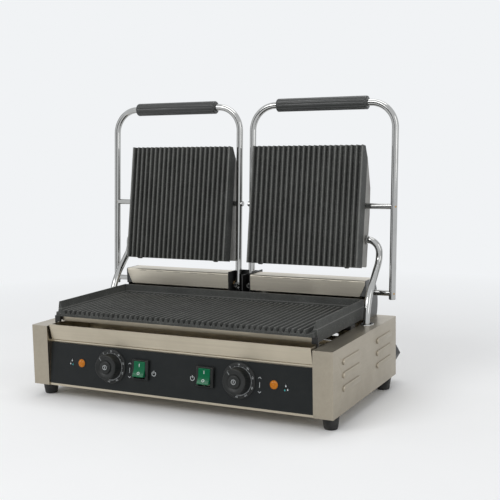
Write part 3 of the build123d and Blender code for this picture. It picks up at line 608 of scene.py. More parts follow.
def brushed_grain():
    """Long fine streaks of brushed sheet: they change the colour, the roughness and the height."""
    tree, given, result = shader_group("Brushed Grain", (
        ("Place", "Vector"), ("Stretch", "Vector"), ("Colour", "Color"), ("Roughness", "Float"),
        ("Spread", "Float")), (("Colour", "Color"), ("Roughness", "Float"), ("Height", "Float")))
    drawn = node(tree, "ShaderNodeVectorMath", {0: given["Place"], 1: given["Stretch"]},
                 operation="MULTIPLY").outputs[0]
    fine = noise(tree, drawn, 1.0, 3.0)
    broad = noise(tree, drawn, 0.13, 2.0)
    both = maths(tree, "MULTIPLY_ADD", fine, 0.6, maths(tree, "MULTIPLY", broad, 0.4))
    change = maths(tree, "MULTIPLY", maths(tree, "SUBTRACT", both, 0.5), given["Spread"])
    rough = maths(tree, "ADD", given["Roughness"], change)
    tone = span(tree, both, 0.3, 0.7, 0.92, 1.06)
    grey = node(tree, "ShaderNodeCombineColor", {0: tone, 1: tone, 2: tone}).outputs[0]
    shaded = blended(tree, 1.0, given["Colour"], grey, "MULTIPLY")
    deliver(tree, result, Colour=shaded, Roughness=rough, Height=both)
    return tree


def handling_marks():
    """Cloudy patches left by hands and cloths: slightly darker and duller."""
    tree, given, result = shader_group("Handling Marks", (
        ("Place", "Vector"), ("Colour", "Color"), ("Roughness", "Float"), ("Amount", "Float"),
        ("Size", "Float")), (("Colour", "Color"), ("Roughness", "Float")))
    cloud = noise(tree, given["Place"], given["Size"], 4.0, 0.6)
    patch = span(tree, cloud, 0.42, 0.68)
    share = maths(tree, "MULTIPLY", patch, given["Amount"])
    dark = blended(tree, 1.0, given["Colour"], (0.72, 0.72, 0.72, 1), "MULTIPLY")
    deliver(tree, result, Colour=blended(tree, share, given["Colour"], dark),
            Roughness=maths(tree, "MULTIPLY_ADD", share, 0.35, given["Roughness"]))
    return tree


def cast_skin():
    """Sand cast surface: mottled tone, uneven gloss and fine pits."""
    tree, given, result = shader_group("Cast Skin", (
        ("Place", "Vector"), ("Colour", "Color"), ("Roughness", "Float"), ("Size", "Float"),
        ("Specks", "Float")), (("Colour", "Color"), ("Roughness", "Float"), ("Height", "Float")))
    lumps = noise(tree, given["Place"], given["Size"], 5.0, 0.65)
    cells = node(tree, "ShaderNodeTexVoronoi", {
        "Vector": given["Place"], "Scale": maths(tree, "MULTIPLY", given["Size"], 1.7)}).outputs["Distance"]
    clouds = noise(tree, given["Place"], 26.0, 3.0)
    tones = [span(tree, field, 0.3, 0.7, 0.8, 1.2) for field in (clouds, lumps)]
    tone = maths(tree, "MULTIPLY", *tones)
    grey = node(tree, "ShaderNodeCombineColor", {0: tone, 1: tone, 2: tone}).outputs[0]
    mottled = blended(tree, 1.0, given["Colour"], grey, "MULTIPLY")
    specks = span(tree, noise(tree, given["Place"], 620.0, 2.0, 0.7), 0.56, 0.66)
    specks = maths(tree, "MULTIPLY", specks, given["Specks"])
    lighter = blended(tree, 1.0, mottled, (3.2, 3.2, 3.2, 1), "MULTIPLY")
    shift = maths(tree, "MULTIPLY", maths(tree, "SUBTRACT", lumps, 0.5), 0.3)
    deliver(tree, result, Colour=blended(tree, specks, mottled, lighter),
            Roughness=maths(tree, "ADD", given["Roughness"], shift),
            Height=maths(tree, "MULTIPLY_ADD", cells, 0.45, lumps))
    return tree


def tip_highlight_mask():
    """Mask of a height along a direction, for the painted highlight on the rib tips: one at the rib tips,
    nothing below or above, broken by noise.
    """
    tree, given, result = shader_group("Worn Tips", (
        ("Place", "Vector"), ("Direction", "Vector"), ("Tip", "Float"), ("Depth", "Float")),
        (("Mask", "Float"),))
    along = node(tree, "ShaderNodeVectorMath", {0: given["Place"], 1: given["Direction"]},
                 operation="DOT_PRODUCT").outputs["Value"]
    below = maths(tree, "ABSOLUTE", maths(tree, "SUBTRACT", given["Tip"], along), 0.0)
    ragged = maths(tree, "MULTIPLY", noise(tree, given["Place"], 420.0, 4.0, 0.7), given["Depth"])
    mask = node(tree, "ShaderNodeMapRange", {
        "Value": maths(tree, "ADD", below, ragged), "From Min": 0.0, "From Max": given["Depth"],
        "To Min": 1.0, "To Max": 0.0})
    deliver(tree, result, Mask=mask.outputs[0])
    return tree


def painted_edge_mask():
    """Mask of the outer edges, where a second tone is painted: lighter as a painted highlight on the bracket,
    the ears and the iron, darker on the plate covers.
    """
    tree, given, result = shader_group("Worn Edges", (
        ("Place", "Vector"), ("Width", "Float")), (("Mask", "Float"),))
    rounded = node(tree, "ShaderNodeBevel", {"Radius": given["Width"]}, samples=4).outputs[0]
    facing = node(tree, "ShaderNodeNewGeometry").outputs["Normal"]
    same = node(tree, "ShaderNodeVectorMath", {0: rounded, 1: facing},
                operation="DOT_PRODUCT").outputs["Value"]
    edge = span(tree, same, 0.99, 0.90)
    broken = span(tree, noise(tree, given["Place"], 180.0, 4.0, 0.7), 0.38, 0.62)
    deliver(tree, result, Mask=maths(tree, "MULTIPLY", edge, broken))
    return tree


def moulded_skin():
    """Fine sparked texture of moulded plastic and rubber, with a faint cloud of dust."""
    tree, given, result = shader_group("Moulded Skin", (
        ("Place", "Vector"), ("Colour", "Color"), ("Roughness", "Float"), ("Dust", "Float")),
        (("Colour", "Color"), ("Roughness", "Float"), ("Height", "Float")))
    sparks = noise(tree, given["Place"], 1900.0, 2.0, 0.6)
    clouds = noise(tree, given["Place"], 60.0, 4.0, 0.6)
    share = maths(tree, "MULTIPLY", span(tree, clouds, 0.4, 0.75), given["Dust"])
    dusty = blended(tree, share, given["Colour"], (0.30, 0.29, 0.27, 1))
    shift = maths(tree, "MULTIPLY", maths(tree, "SUBTRACT", sparks, 0.5), 0.16)
    deliver(tree, result, Colour=dusty, Roughness=maths(tree, "ADD", given["Roughness"], shift),
            Height=sparks)
    return tree


GROUPS = {"grain": brushed_grain, "marks": handling_marks, "cast": cast_skin, "tips": tip_highlight_mask,
          "edges": painted_edge_mask, "skin": moulded_skin}


def grouped(tree, kind, inputs):
    """Places a shader group, which is built once, and returns its outputs."""
    shared = bpy.data.node_groups.get("grill " + kind)
    if shared is None:
        shared = GROUPS[kind]()
        shared.name = "grill " + kind
    return node(tree, "ShaderNodeGroup", inputs, node_tree=shared).outputs


# Finishes


def plain(tone):
    """A colour with its alpha."""
    return (*tone, 1.0)


def surface(name, **sockets):
    """New material; returns it with its tree, its shader and the place on the piece."""
    made = bpy.data.materials.new(name + "_finish")
    made.use_nodes = True
    tree = made.node_tree
    shader = tree.nodes["Principled BSDF"]
    for key, value in sockets.items():
        shader.inputs[key.replace("_", " ")].default_value = value
    return made, tree, shader, node(tree, "ShaderNodeTexCoord").outputs["Object"]


def connect(tree, shader, outputs, depth):
    """Feeds the shader with a colour, a roughness and, where there is a depth, a height as a bump."""
    tree.links.new(outputs["Colour"], shader.inputs["Base Color"])
    tree.links.new(outputs["Roughness"], shader.inputs["Roughness"])
    if depth:
        raised = node(tree, "ShaderNodeBump", {
            "Height": outputs["Height"], "Strength": 0.6, "Distance": depth})
        tree.links.new(raised.outputs[0], shader.inputs["Normal"])


def brushed(name, tone, rough, stretch, spread=0.16, marks=0.25, depth=0.012 * MM):
    """Metal sheet with a grain; stretch is in streaks for each metre along X, Y and Z."""
    made, tree, shader, place = surface(name, Metallic=1.0)
    grain = grouped(tree, "grain", {
        "Place": place, "Stretch": stretch, "Colour": plain(tone), "Roughness": rough, "Spread": spread})
    soiled = grouped(tree, "marks", {
        "Place": place, "Colour": grain["Colour"], "Roughness": grain["Roughness"], "Amount": marks,
        "Size": 11.0})
    connect(tree, shader, {
        "Colour": soiled["Colour"], "Roughness": soiled["Roughness"], "Height": grain["Height"]}, depth)
    return made


def moulded(name, tone, rough, dust=0.02, depth=0.01 * MM, gloss=0.3, **sockets):
    """Plastic or rubber with a fine sparked skin."""
    made, tree, shader, place = surface(name, Specular_IOR_Level=gloss, **sockets)
    skin = grouped(tree, "skin", {"Place": place, "Colour": plain(tone), "Roughness": rough, "Dust": dust})
    connect(tree, shader, skin, depth)
    return made


def painted_metal(name, tone, painted_edge_tone, rough, size, depth, width=0.5 * MM, **sockets):
    """Coated metal whose edges are painted in a second tone, a painted highlight where that tone is lighter.
    """
    made, tree, shader, place = surface(name, **sockets)
    skin = grouped(tree, "cast", {
        "Place": place, "Colour": plain(tone), "Roughness": rough, "Size": size, "Specks": 0.03})
    edges = grouped(tree, "edges", {"Place": place, "Width": width})
    connect(tree, shader, {
        "Colour": blended(tree, edges["Mask"], skin["Colour"], plain(painted_edge_tone)),
        "Roughness": skin["Roughness"], "Height": skin["Height"]}, depth)
    return made


def ribbed_iron(name, direction, tip, depth):
    """Cast iron that is dark in its grooves, with a painted highlight in a lighter tone at its rib tips and
    edges.
    """
    tones = colours()
    made, tree, shader, place = surface(name, Specular_IOR_Level=0.3)
    skin = grouped(tree, "cast", {
        "Place": place, "Colour": plain(tones.iron), "Roughness": 0.62, "Size": 900.0, "Specks": 0.55})
    tips = grouped(tree, "tips", {"Place": place, "Direction": direction, "Tip": tip, "Depth": depth})
    edges = grouped(tree, "edges", {"Place": place, "Width": 0.7 * MM})
    # Lighter tone at the rib tips and edges: painted highlight.
    mask = maths(tree, "MAXIMUM", tips["Mask"], maths(tree, "MULTIPLY", edges["Mask"], 0.8))
    connect(tree, shader, {
        "Colour": blended(tree, mask, skin["Colour"], plain(tones.iron_tip_highlight)),
        "Roughness": maths(tree, "MULTIPLY_ADD", mask, -0.16, skin["Roughness"]),
        "Height": skin["Height"]}, 0.10 * MM)
    return made


def stainless(name):
    """Sheet brushed from left to right."""
    return brushed(name, colours().stainless, 0.34, (14.0, 1300.0, 1300.0))


def stainless_side(name):
    """Sheet brushed from front to back, for the columns, in the darker column tone that is painted shade."""
    return brushed(name, colours().column, 0.33, (1300.0, 14.0, 1300.0))


def stainless_hood(name):
    """Sheet of the hinge covers in the lighter tone that is painted light, brushed from left to right."""
    return brushed(name, colours().hood_painted_light, 0.36, (14.0, 1300.0, 1300.0))


def seam_dark(name):
    """Dark dashes painted along the bend of a hinge cover, a painted reflection of its slight waviness."""
    return moulded(name, (0.05, 0.045, 0.038), 0.7)


def chrome(name):
    """Plating with faint wiping marks."""
    made, tree, shader, place = surface(name, Metallic=1.0)
    soiled = grouped(tree, "marks", {
        "Place": place, "Colour": plain(colours().chrome), "Roughness": 0.07, "Amount": 0.25, "Size": 38.0})
    connect(tree, shader, soiled, 0)
    return made


def griddle_iron(name):
    _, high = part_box("lower_plate")
    tip = high.z - RIM_ABOVE_TIPS
    return ribbed_iron(name, (0.0, 0.0, 1.0), tip, 2.6 * MM)


def plate_iron(name):
    place = plate_matrix(1)
    outward = place.to_3x3() @ Vector((0, 0, 1))
    return ribbed_iron(name, outward, outward.dot(place.translation), 4.5 * MM)


def plate_cover(name):
    tone = colours().plate_cover
    # The cover's edges are painted darker than its face.
    return painted_metal(name, tone, (0.19, 0.19, 0.18), 0.46, 260.0, 0.03 * MM, Specular_IOR_Level=0.35)


def grip_black(name):
    return moulded(name, colours().grip, 0.27, dust=0.03, gloss=0.45)


def knob_black(name):
    return moulded(name, colours().knob, 0.38, dust=0.03)


def overlay_black(name):
    return moulded(name, colours().overlay, 0.42, dust=0.01, depth=0.006 * MM, gloss=0.24)


def switch_black(name):
    return moulded(name, colours().knob, 0.30, dust=0.02)


def rocker_green(name):
    tone = colours().rocker
    return moulded(name, tone, 0.25, dust=0.0, depth=0.0, gloss=0.16, Coat_Weight=0.12,
                   Emission_Color=plain(tone), Emission_Strength=0.25)


def lens_amber(name):
    tone = colours().lens
    return moulded(name, tone, 0.2, dust=0.0, depth=0.0, gloss=0.2, Coat_Weight=0.15,
                   Emission_Color=plain(tone), Emission_Strength=0.2)


def printed(name, tone):
    return moulded(name, tone, 0.5, dust=0.05, depth=0.0)


def print_white(name):
    return printed(name, colours().print_white)


def print_grey(name):
    return printed(name, colours().print_grey)


def print_teal(name):
    return printed(name, colours().print_teal)


def foot_rubber(name):
    return moulded(name, colours().rubber, 0.62, dust=0.12, depth=0.03 * MM)


# The lighter edge tones of the bracket and the ears are painted highlight.
def bracket_black(name):
    return painted_metal(name, colours().bracket, (0.10, 0.10, 0.10), 0.42, 500.0, 0.02 * MM)


def ear_grey(name):
    return painted_metal(name, colours().ear, (0.20, 0.20, 0.19), 0.40, 420.0, 0.02 * MM)


def element_steel(name):
    """Tubular element, tinted by heat."""
    made, tree, shader, place = surface(name, Metallic=1.0)
    heat = noise(tree, place, 24.0, 3.0)
    tint = blended(tree, span(tree, heat, 0.35, 0.65), (0.20, 0.17, 0.15, 1), (0.11, 0.10, 0.13, 1))
    tree.links.new(tint, shader.inputs["Base Color"])
    tree.links.new(span(tree, heat, 0.3, 0.7, 0.35, 0.6), shader.inputs["Roughness"])
    return made


def insulation(name):
    """Matted mineral fibre."""
    made, tree, shader, place = surface(name)
    fibres = grouped(tree, "grain", {
        "Place": place, "Stretch": (60.0, 700.0, 700.0), "Colour": (0.62, 0.60, 0.54, 1), "Roughness": 0.9,
        "Spread": 0.1})
    connect(tree, shader, fibres, 0.5 * MM)
    return made


def spring_steel(name):
    return brushed(name, (0.24, 0.24, 0.25), 0.36, (900.0, 90.0, 90.0))


def bush_bronze(name):
    return brushed(name, (0.42, 0.27, 0.12), 0.42, (60.0, 900.0, 900.0))


def screw_zinc(name):
    return brushed(name, (0.56, 0.56, 0.54), 0.30, (300.0, 300.0, 300.0), marks=0.4)


def gland_black(name):
    return moulded(name, (0.016, 0.016, 0.017), 0.44, dust=0.05)


def terminal_white(name):
    return moulded(name, (0.62, 0.61, 0.57), 0.45, dust=0.1)


def thermostat_metal(name):
    return brushed(name, (0.52, 0.50, 0.46), 0.40, (120.0, 500.0, 500.0))


# Near black, for the flat hexagon that is painted shade in a socket recess, and for the dark cards.
def socket_dark(name):
    return moulded(name, (0.006, 0.006, 0.006), 0.6, dust=0.0)


FINISHES = {made.__name__: made for made in (
    stainless, stainless_side, stainless_hood, seam_dark, chrome, griddle_iron, plate_iron, plate_cover,
    grip_black, knob_black, overlay_black, switch_black, rocker_green, lens_amber, print_white, print_grey,
    print_teal,
    foot_rubber, bracket_black, ear_grey, element_steel, insulation, spring_steel, bush_bronze, screw_zinc,
    gland_black, terminal_white, thermostat_metal, socket_dark)}


def finish(name):
    """The material of that name, which is built when it is first asked for."""
    return bpy.data.materials.get(name + "_finish") or FINISHES[name](name)


# Places on the frame


def standing(place, across, up, out):
    """Matrix at a place with its X, Y and Z along three directions."""
    return Matrix.Translation(place) @ Matrix((across, up, out)).transposed().to_4x4()


def plate_matrix(side):
    """Place of an upper plate: X across, Y up along it, Z out of its rib tips."""
    lean = sizes().plate_lean
    up = Vector((0, math.sin(lean), math.cos(lean)))
    out = Vector((0, -math.cos(lean), math.sin(lean)))
    pin = Vector(JOINTS["plate_right_tilt"]["pos_m"])
    centre = pin - up * sizes().pin_above_centre + out * sizes().pin_above_face
    low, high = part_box("upper_plate_right")
    centre.x = side * (low.x + high.x) / 2
    return standing(centre, (1, 0, 0), up, out)


def panel_matrix(x, place=None):
    """Place on the front panel: X right, Y up the panel, Z out of it."""
    knob = JOINTS["thermostat_knob_right_turn"]
    out = -Vector(knob["axis"])
    up = out.cross(Vector((1, 0, 0)))
    origin = Vector(place or knob["pos_m"])
    origin.x = x
    return standing(origin, (1, 0, 0), up, out)


def shifted(matrix, x, y, z=0.0):
    return matrix @ Matrix.Translation((x, y, z))


def screw_head(radius, height, recess=0.55):
    """Pan head with a cross recess, its seat on Z = 0."""
    sides = 48
    arm = 0.16 * radius

    def top(reach, angle):
        dome = height * (1 - 0.35 * (reach / radius) ** 2)
        x, y = abs(reach * math.cos(angle)), abs(reach * math.sin(angle))
        sunk = min(x, y) < arm and max(x, y) < recess * radius
        return dome - (0.5 * height if sunk else 0)

    rings = [circle(radius, 0, sides), circle(radius, 0.45 * height, sides)]
    for share in (0.94, 0.8, 0.66, 0.58, 0.52, 0.4, 0.28, 0.16, 0.05):
        reach = share * radius
        rings.append([(reach * math.cos(a), reach * math.sin(a), top(reach, a))
                      for a in [2 * math.pi * (i + 0.5) / sides for i in range(sides)]])
    return mesh_of([lofted(rings)])


# Operators


class Piece(bpy.types.Operator):
    """Shared settings of the grill's operators."""

    bl_idname = "grill.piece"
    bl_label = "Piece"
    bl_options = {"REGISTER", "UNDO"}


class GRILL_OT_columns(Piece):
    """Folded columns at the sides, with rounded folds"""

    bl_idname = "grill.columns"
    bl_label = "Columns"

    def execute(self, context):
        edge = sizes().edge
        for word, _ in SIDES:
            dressed(f"column_{word}", f"side_box_{word}", "stainless_side", "stainless", edge=edge)
        dressed("conduit_rims", "conduit_guides", "chrome", "chrome", edge=0.2 * MM)
        return {"FINISHED"}


class GRILL_OT_sheets(Piece):
    """Front sheet, back sheet, floor and black face of the housing"""

    bl_idname = "grill.sheets"
    bl_label = "Housing sheets"

    def execute(self, context):
        edge = sizes().edge
        dressed("front_sheet", "front_panel", "stainless", "stainless", edge=0.3 * MM)
        dressed("back_sheet", "rear_panel", "stainless", "stainless", edge=0.3 * MM)
        dressed("floor_sheet", "bottom_cover", "stainless", "stainless")
        dressed("panel_face", "panel_overlay", "overlay_black", "overlay_black", edge=0.2 * MM)
        dressed("griddle_blocks", "plate_brackets", "bracket_black", "bracket_black", edge=edge)
        return {"FINISHED"}


class GRILL_OT_screws(Piece):
    """Cross recess screws at the back and under the feet, and on the plate covers"""

    bl_idname = "grill.screws"
    bl_label = "Screws"

    def execute(self, context):
        low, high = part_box("body_screws")
        head_radius, head_height = 3.6 * MM, 1.8 * MM
        back = high.y - head_height
        inner_x = 90 * MM
        outer_x = high.x - head_radius
        lows = 31 * MM
        highs = high.z - head_radius
        facing_back = (-math.pi / 2, 0, 0)
        places = [((x, back, z), facing_back) for x in (-outer_x, -inner_x, inner_x, outer_x)
                  for z in (lows, highs)]
        feet_low, feet_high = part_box("feet")
        foot_radius = 14 * MM
        seat = low.z + 3.5 * MM
        facing_down = (math.pi, 0, 0)
        places += [((x, y, seat), facing_down)
                   for x in (feet_low.x + foot_radius, feet_high.x - foot_radius)
                   for y in (feet_low.y + foot_radius, feet_high.y - foot_radius)]
        mesh = grown("scatter", "screw_zinc", screw_head(head_radius, head_height), points_mesh(places))
        piece("housing_screws", mesh, "housing", slot="screw_zinc", stands_for=["body_screws"])
        for word, side in SIDES:
            self.cover_heads(word, side)
        return {"FINISHED"}

    def cover_heads(self, word, side):
        """Four heads on a plate cover, two on its flat and two on its sloping front."""
        plate = plate_matrix(side)
        half = sizes().plate_size / 2
        inset = 9 * MM
        rear_height = 51.9 * MM
        front_at = half - sizes().plate_nose_run - 14 * MM
        front_height = 35.2 * MM
        away = plate.to_3x3() @ Matrix.Rotation(math.pi, 3, "X")
        places = []
        for x in (-half + inset, half - inset):
            for y, height in ((-half + inset, rear_height), (front_at, front_height)):
                places.append((plate @ Vector((x, y, -height + 0.4 * MM)), away.to_euler()))
        mesh = grown("scatter", "screw_zinc", screw_head(3.4 * MM, 1.6 * MM), points_mesh(places))
        piece(f"cover_screw_heads_{word}", mesh, f"upper_plate_{word}", slot="screw_zinc",
              stands_for=[f"cover_screws_{word}"])


class GRILL_OT_feet(Piece):
    """Tapered rubber feet with an eased rim and a hollow for the screw"""

    bl_idname = "grill.feet"
    bl_label = "Feet"

    def execute(self, context):
        low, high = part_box("feet")
        top, bottom, ease, hollow = 14 * MM, 11 * MM, 1.6 * MM, 6 * MM
        tall = high.z - low.z
        outer = [(hollow, 8 * MM), (hollow, 0.6 * MM), (hollow + 0.6 * MM, 0), (bottom - ease, 0),
                 (bottom - 0.4 * ease, 0.25 * ease), (bottom, ease),
                 (bottom + 0.86 * (top - bottom), 0.86 * tall), (top, 0.9 * tall), (top, tall - 0.4 * MM),
                 (top - 0.4 * MM, tall), (1 * MM, tall), (1 * MM, 8 * MM)]
        foot = lofted([circle(r, h, 48) for r, h in outer], loop=True)
        xs = (low.x + top, high.x - top)
        ys = (low.y + top, high.y - top)
        shapes = [placed(foot, Matrix.Translation((x, y, low.z))) for x in xs for y in ys]
        build("rubber_feet", shapes, "foot_rubber", "housing", slot="foot_rubber", stands_for=["feet"])
        return {"FINISHED"}


def rib_mesh(length, fade):
    """One rib along Y on the floor Z = 0, with a rounded tip, sloping down at its far end over a length."""
    size = sizes()
    root, tip, tall = size.rib_root / 2, size.rib_tip / 2, size.rib_height
    half = [(root, -SUNK), (root, 0), (tip + 0.32 * MM, 0.88 * tall), (0.82 * tip, 0.965 * tall),
            (0.4 * tip, tall)]
    outline = half + [(-x, z) for x, z in reversed(half)]
    rings = [[(x, y, z) for x, z in outline] for y in ((0, length) if not fade else (0, length - fade))]
    if fade:
        rings.append([(0.8 * x, length, min(z, 0.12 * tall)) for x, z in outline])
    return mesh_of([lofted(rings)])


class GRILL_OT_griddle(Piece):
    """Lower casting: a slab with a row of ribs, side and rear walls and an open lip"""

    bl_idname = "grill.griddle"
    bl_label = "Griddle"

    def execute(self, context):
        size = sizes()
        low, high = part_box("lower_plate")
        half = high.x
        cook_half = half - size.griddle_wall
        front, rear = low.y, high.y - 0.8 * MM
        cook_rear = rear - size.griddle_rear_wall
        skirt, rim = low.z, high.z
        tip = rim - RIM_ABOVE_TIPS
        floor = tip - size.rib_height
        slab_thick, wall_setback = 4.6 * MM, 8 * MM
        under = floor - slab_thick
        wall_front = front + wall_setback
        slab = cuboid((-cook_half, cook_half), (front, cook_rear), (under, floor))
        section = [(cook_half - 0.5 * MM, under), (cook_half - 0.5 * MM, floor + 1 * MM),
                   (cook_half + 3.6 * MM, tip - 0.8 * MM), (cook_half + 8.1 * MM, rim),
                   (half - 1.9 * MM, rim), (half, skirt), (half - 5 * MM, skirt), (half - 5 * MM, under)]
        slope = 4.5 * MM / (rim - skirt)
        wall = lofted([[(x, wall_front - 1 * MM + slope * (z - skirt), z) for x, z in section],
                       [(x, rear, z) for x, z in section]])
        lip = along_y([(cook_half - 1 * MM, under), (cook_half - 1 * MM, floor),
                       (half - 4 * MM, floor + 3 * MM), (half - 3 * MM, under)], front, wall_front + 2 * MM)
        back = along_x([(cook_rear - 1 * MM, under), (cook_rear - 1 * MM, floor),
                        (cook_rear + 0.6 * MM, rim), (rear, rim), (high.y, skirt), (rear - 4 * MM, skirt),
                        (rear - 4 * MM, under)], -half + 6 * MM, half - 6 * MM)
        base = mesh_of([slab, wall, flipped(wall), lip, flipped(lip), back])
        count = int((2 * cook_half - 3 * MM) // size.rib_pitch)
        first = -(count - 1) * size.rib_pitch / 2
        rib = rib_mesh(cook_rear - size.rear_channel - front, 3 * MM)
        mesh = grown("row", "griddle_iron", rib, base, Count=count, Start=(first, front, floor),
                     Pitch=(size.rib_pitch, 0, 0))
        piece("griddle_casting", mesh, "housing", slot="griddle_iron", stands_for=["lower_plate"],
              edge=0.5 * MM, sharp=math.radians(38))
        return {"FINISHED"}


class GRILL_OT_tray(Piece):
    """Drip tray with rounded folds"""

    bl_idname = "grill.tray"
    bl_label = "Drip tray"

    def execute(self, context):
        dressed("grease_tray", "drip_tray", "stainless", "stainless", edge=0.35 * MM)
        return {"FINISHED"}


class GRILL_OT_dials(Piece):
    """Dial rings with their printed scale"""

    bl_idname = "grill.dials"
    bl_label = "Dials"

    def execute(self, context):
        size = sizes()
        outer, tall, inner = size.dial_radius, size.dial_height, size.knob_radius - 6 * MM
        ease = 1.2 * MM
        section = [(inner, 0), (outer, 0), (outer, tall - ease), (outer - 0.35 * ease, tall - 0.35 * ease),
                   (outer - ease, tall), (inner + 0.3 * MM, tall), (inner, tall - 0.3 * MM)]
        ring = lofted([circle(r, h, 96) for r, h in section], loop=True)
        face = tall + size.print_depth / 2
        ticks_at = size.knob_radius + 1.5 * MM
        numbers_at, number_height = size.knob_radius + 4.1 * MM, 3.1 * MM
        for word, side in SIDES:
            panel = panel_matrix(side * abs(JOINTS["thermostat_knob_right_turn"]["pos_m"][0]))
            build(f"dial_ring_{word}", [placed(ring, panel)], "knob_black", "housing", slot="knob_black",
                  stands_for=[f"dial_bezel_{word}"])
            tick = mesh_of([cuboid((-0.2 * MM, 0.2 * MM), (-0.7 * MM, 0.7 * MM),
                                   (tall - 0.1 * MM, tall + size.print_depth))])
            ticks = grown("ring", "print_white", tick, Count=13, Radius=ticks_at, First=SCALE_START,
                          Step=SCALE_STEP / 2)
            ticks.transform(panel)
            meshes = [ticks]
            for index in range(7):
                lean = SCALE_START + index * SCALE_STEP
                centre = shifted(panel, numbers_at * math.sin(lean), numbers_at * math.cos(lean), face)
                turn = Matrix.Rotation(-lean, 4, "Z")
                meshes.append(lettered(str(50 * index), number_height, centre @ turn, size.print_depth))
            joined(f"dial_numbers_{word}", meshes, "print_white", "housing")
            wedge = sector((size.knob_radius + 0.4 * MM,) * 2,
                           (size.knob_radius + 0.7 * MM, size.knob_radius + 2.3 * MM), tall - 0.1 * MM,
                           tall + 0.5 * size.print_depth, SCALE_START, SCALE_START + 6 * SCALE_STEP)
            build(f"dial_band_{word}", [placed(wedge, panel)], "print_grey", "housing")
        return {"FINISHED"}


class GRILL_OT_knobs(Piece):
    """Thermostat knobs with a fluted skirt, a sunk top, a centre cap and a pointer"""

    bl_idname = "grill.knobs"
    bl_label = "Knobs"

    def execute(self, context):
        size = sizes()
        low = size.dial_height + 0.6 * MM
        tall, radius = size.knob_height, size.knob_radius
        grips = 36

        def fluted(base, depth):
            return lambda angle: base - depth * (0.5 - 0.5 * math.cos(grips * angle))

        sides = grips * 6
        shaft, cap = 3.2 * MM, 9.6 * MM
        profile = [(shaft, low + 0.3 * MM), (radius - 0.6 * MM, low), (radius, low + 0.5 * MM),
                   (radius, low + 2.2 * MM), (fluted(radius - 0.3 * MM, 0.5 * MM), low + 3.0 * MM),
                   (fluted(radius - 1.1 * MM, 0.5 * MM), tall - 3.2 * MM),
                   (radius - 1.5 * MM, tall - 1.9 * MM), (radius - 2.1 * MM, tall - 0.9 * MM),
                   (radius - 3.0 * MM, tall - 0.5 * MM),
                   (radius - 4.0 * MM, tall - 0.55 * MM), (12.2 * MM, tall - 1.3 * MM),
                   (11.4 * MM, tall - 2.2 * MM), (10.7 * MM, tall - 2.2 * MM), (10.4 * MM, tall - 0.9 * MM),
                   (cap, tall - 0.35 * MM), (5.0 * MM, tall - 0.05 * MM), (0.6 * MM, tall)]
        body = turned(profile, sides)
        across = (-0.6 * MM, 0.6 * MM)
        pointer = cuboid(across, (13.6 * MM, radius - 2.6 * MM), (tall - 1.6 * MM, tall - 0.35 * MM))
        flank = cuboid(across, (radius - 2.4 * MM, radius - 0.85 * MM), (low + 3.4 * MM, tall - 2.2 * MM))
        top = tall + size.print_depth
        mark = [washer(3.4 * MM, 4.0 * MM, tall - 0.35 * MM, top),
                cuboid((-0.35 * MM, 0.35 * MM), (-2.1 * MM, 2.3 * MM), (tall - 0.2 * MM, top))]
        for word, _ in SIDES:
            joint = JOINTS[f"thermostat_knob_{word}_turn"]
            upright = panel_matrix(joint["pos_m"][0])
            panel = upright @ Matrix.Rotation(-SCALE_START, 4, "Z")
            build(f"knob_body_{word}", [placed(body, panel)], "knob_black", f"knob_{word}", slot="knob_black",
                  stands_for=[f"knob_{word}"], sharp=math.radians(50))
            build(f"knob_pointer_{word}", [placed(shape, panel) for shape in (pointer, flank)], "print_grey",
                  f"knob_{word}")
            build(f"knob_cap_mark_{word}", [placed(shape, upright) for shape in mark], "print_white",
                  f"knob_{word}")
        return {"FINISHED"}


class GRILL_OT_switches(Piece):
    """Rocker switches with their frames and their on and off marks"""

    bl_idname = "grill.switches"
    bl_label = "Switches"

    def execute(self, context):
        size = sizes()
        face_mid, face_high = 6.75 * MM, 6.1 * MM
        slope = math.atan2(3.0, 13.5)
        for word, _ in SIDES:
            dressed(f"switch_frame_{word}", f"switch_housing_{word}", "switch_black", "switch_black",
                    edge=0.5 * MM)
            dressed(f"rocker_cap_{word}", f"rocker_{word}", "rocker_green", "rocker_green", edge=0.4 * MM)
            joint = JOINTS[f"power_switch_{word}_rock"]
            tilt = Matrix.Rotation(-size.rocker_tilt, 4, "X")
            tilted = panel_matrix(joint["pos_m"][0], joint["pos_m"]) @ tilt
            upper = shifted(tilted, 0, face_mid, face_high) @ Matrix.Rotation(slope, 4, "X")
            lower = shifted(tilted, 0, -face_mid, face_high) @ Matrix.Rotation(-slope, 4, "X")
            deep = 0.2 * MM
            bar_mark = cuboid((-0.55 * MM, 0.55 * MM), (-2.6 * MM, 2.6 * MM), (-deep, size.print_depth))
            ring_mark = washer(1.6 * MM, 2.5 * MM, -deep, size.print_depth, 32)
            build(f"rocker_marks_{word}", [placed(bar_mark, upper), placed(ring_mark, lower)], "print_white",
                  f"rocker_{word}")
        return {"FINISHED"}


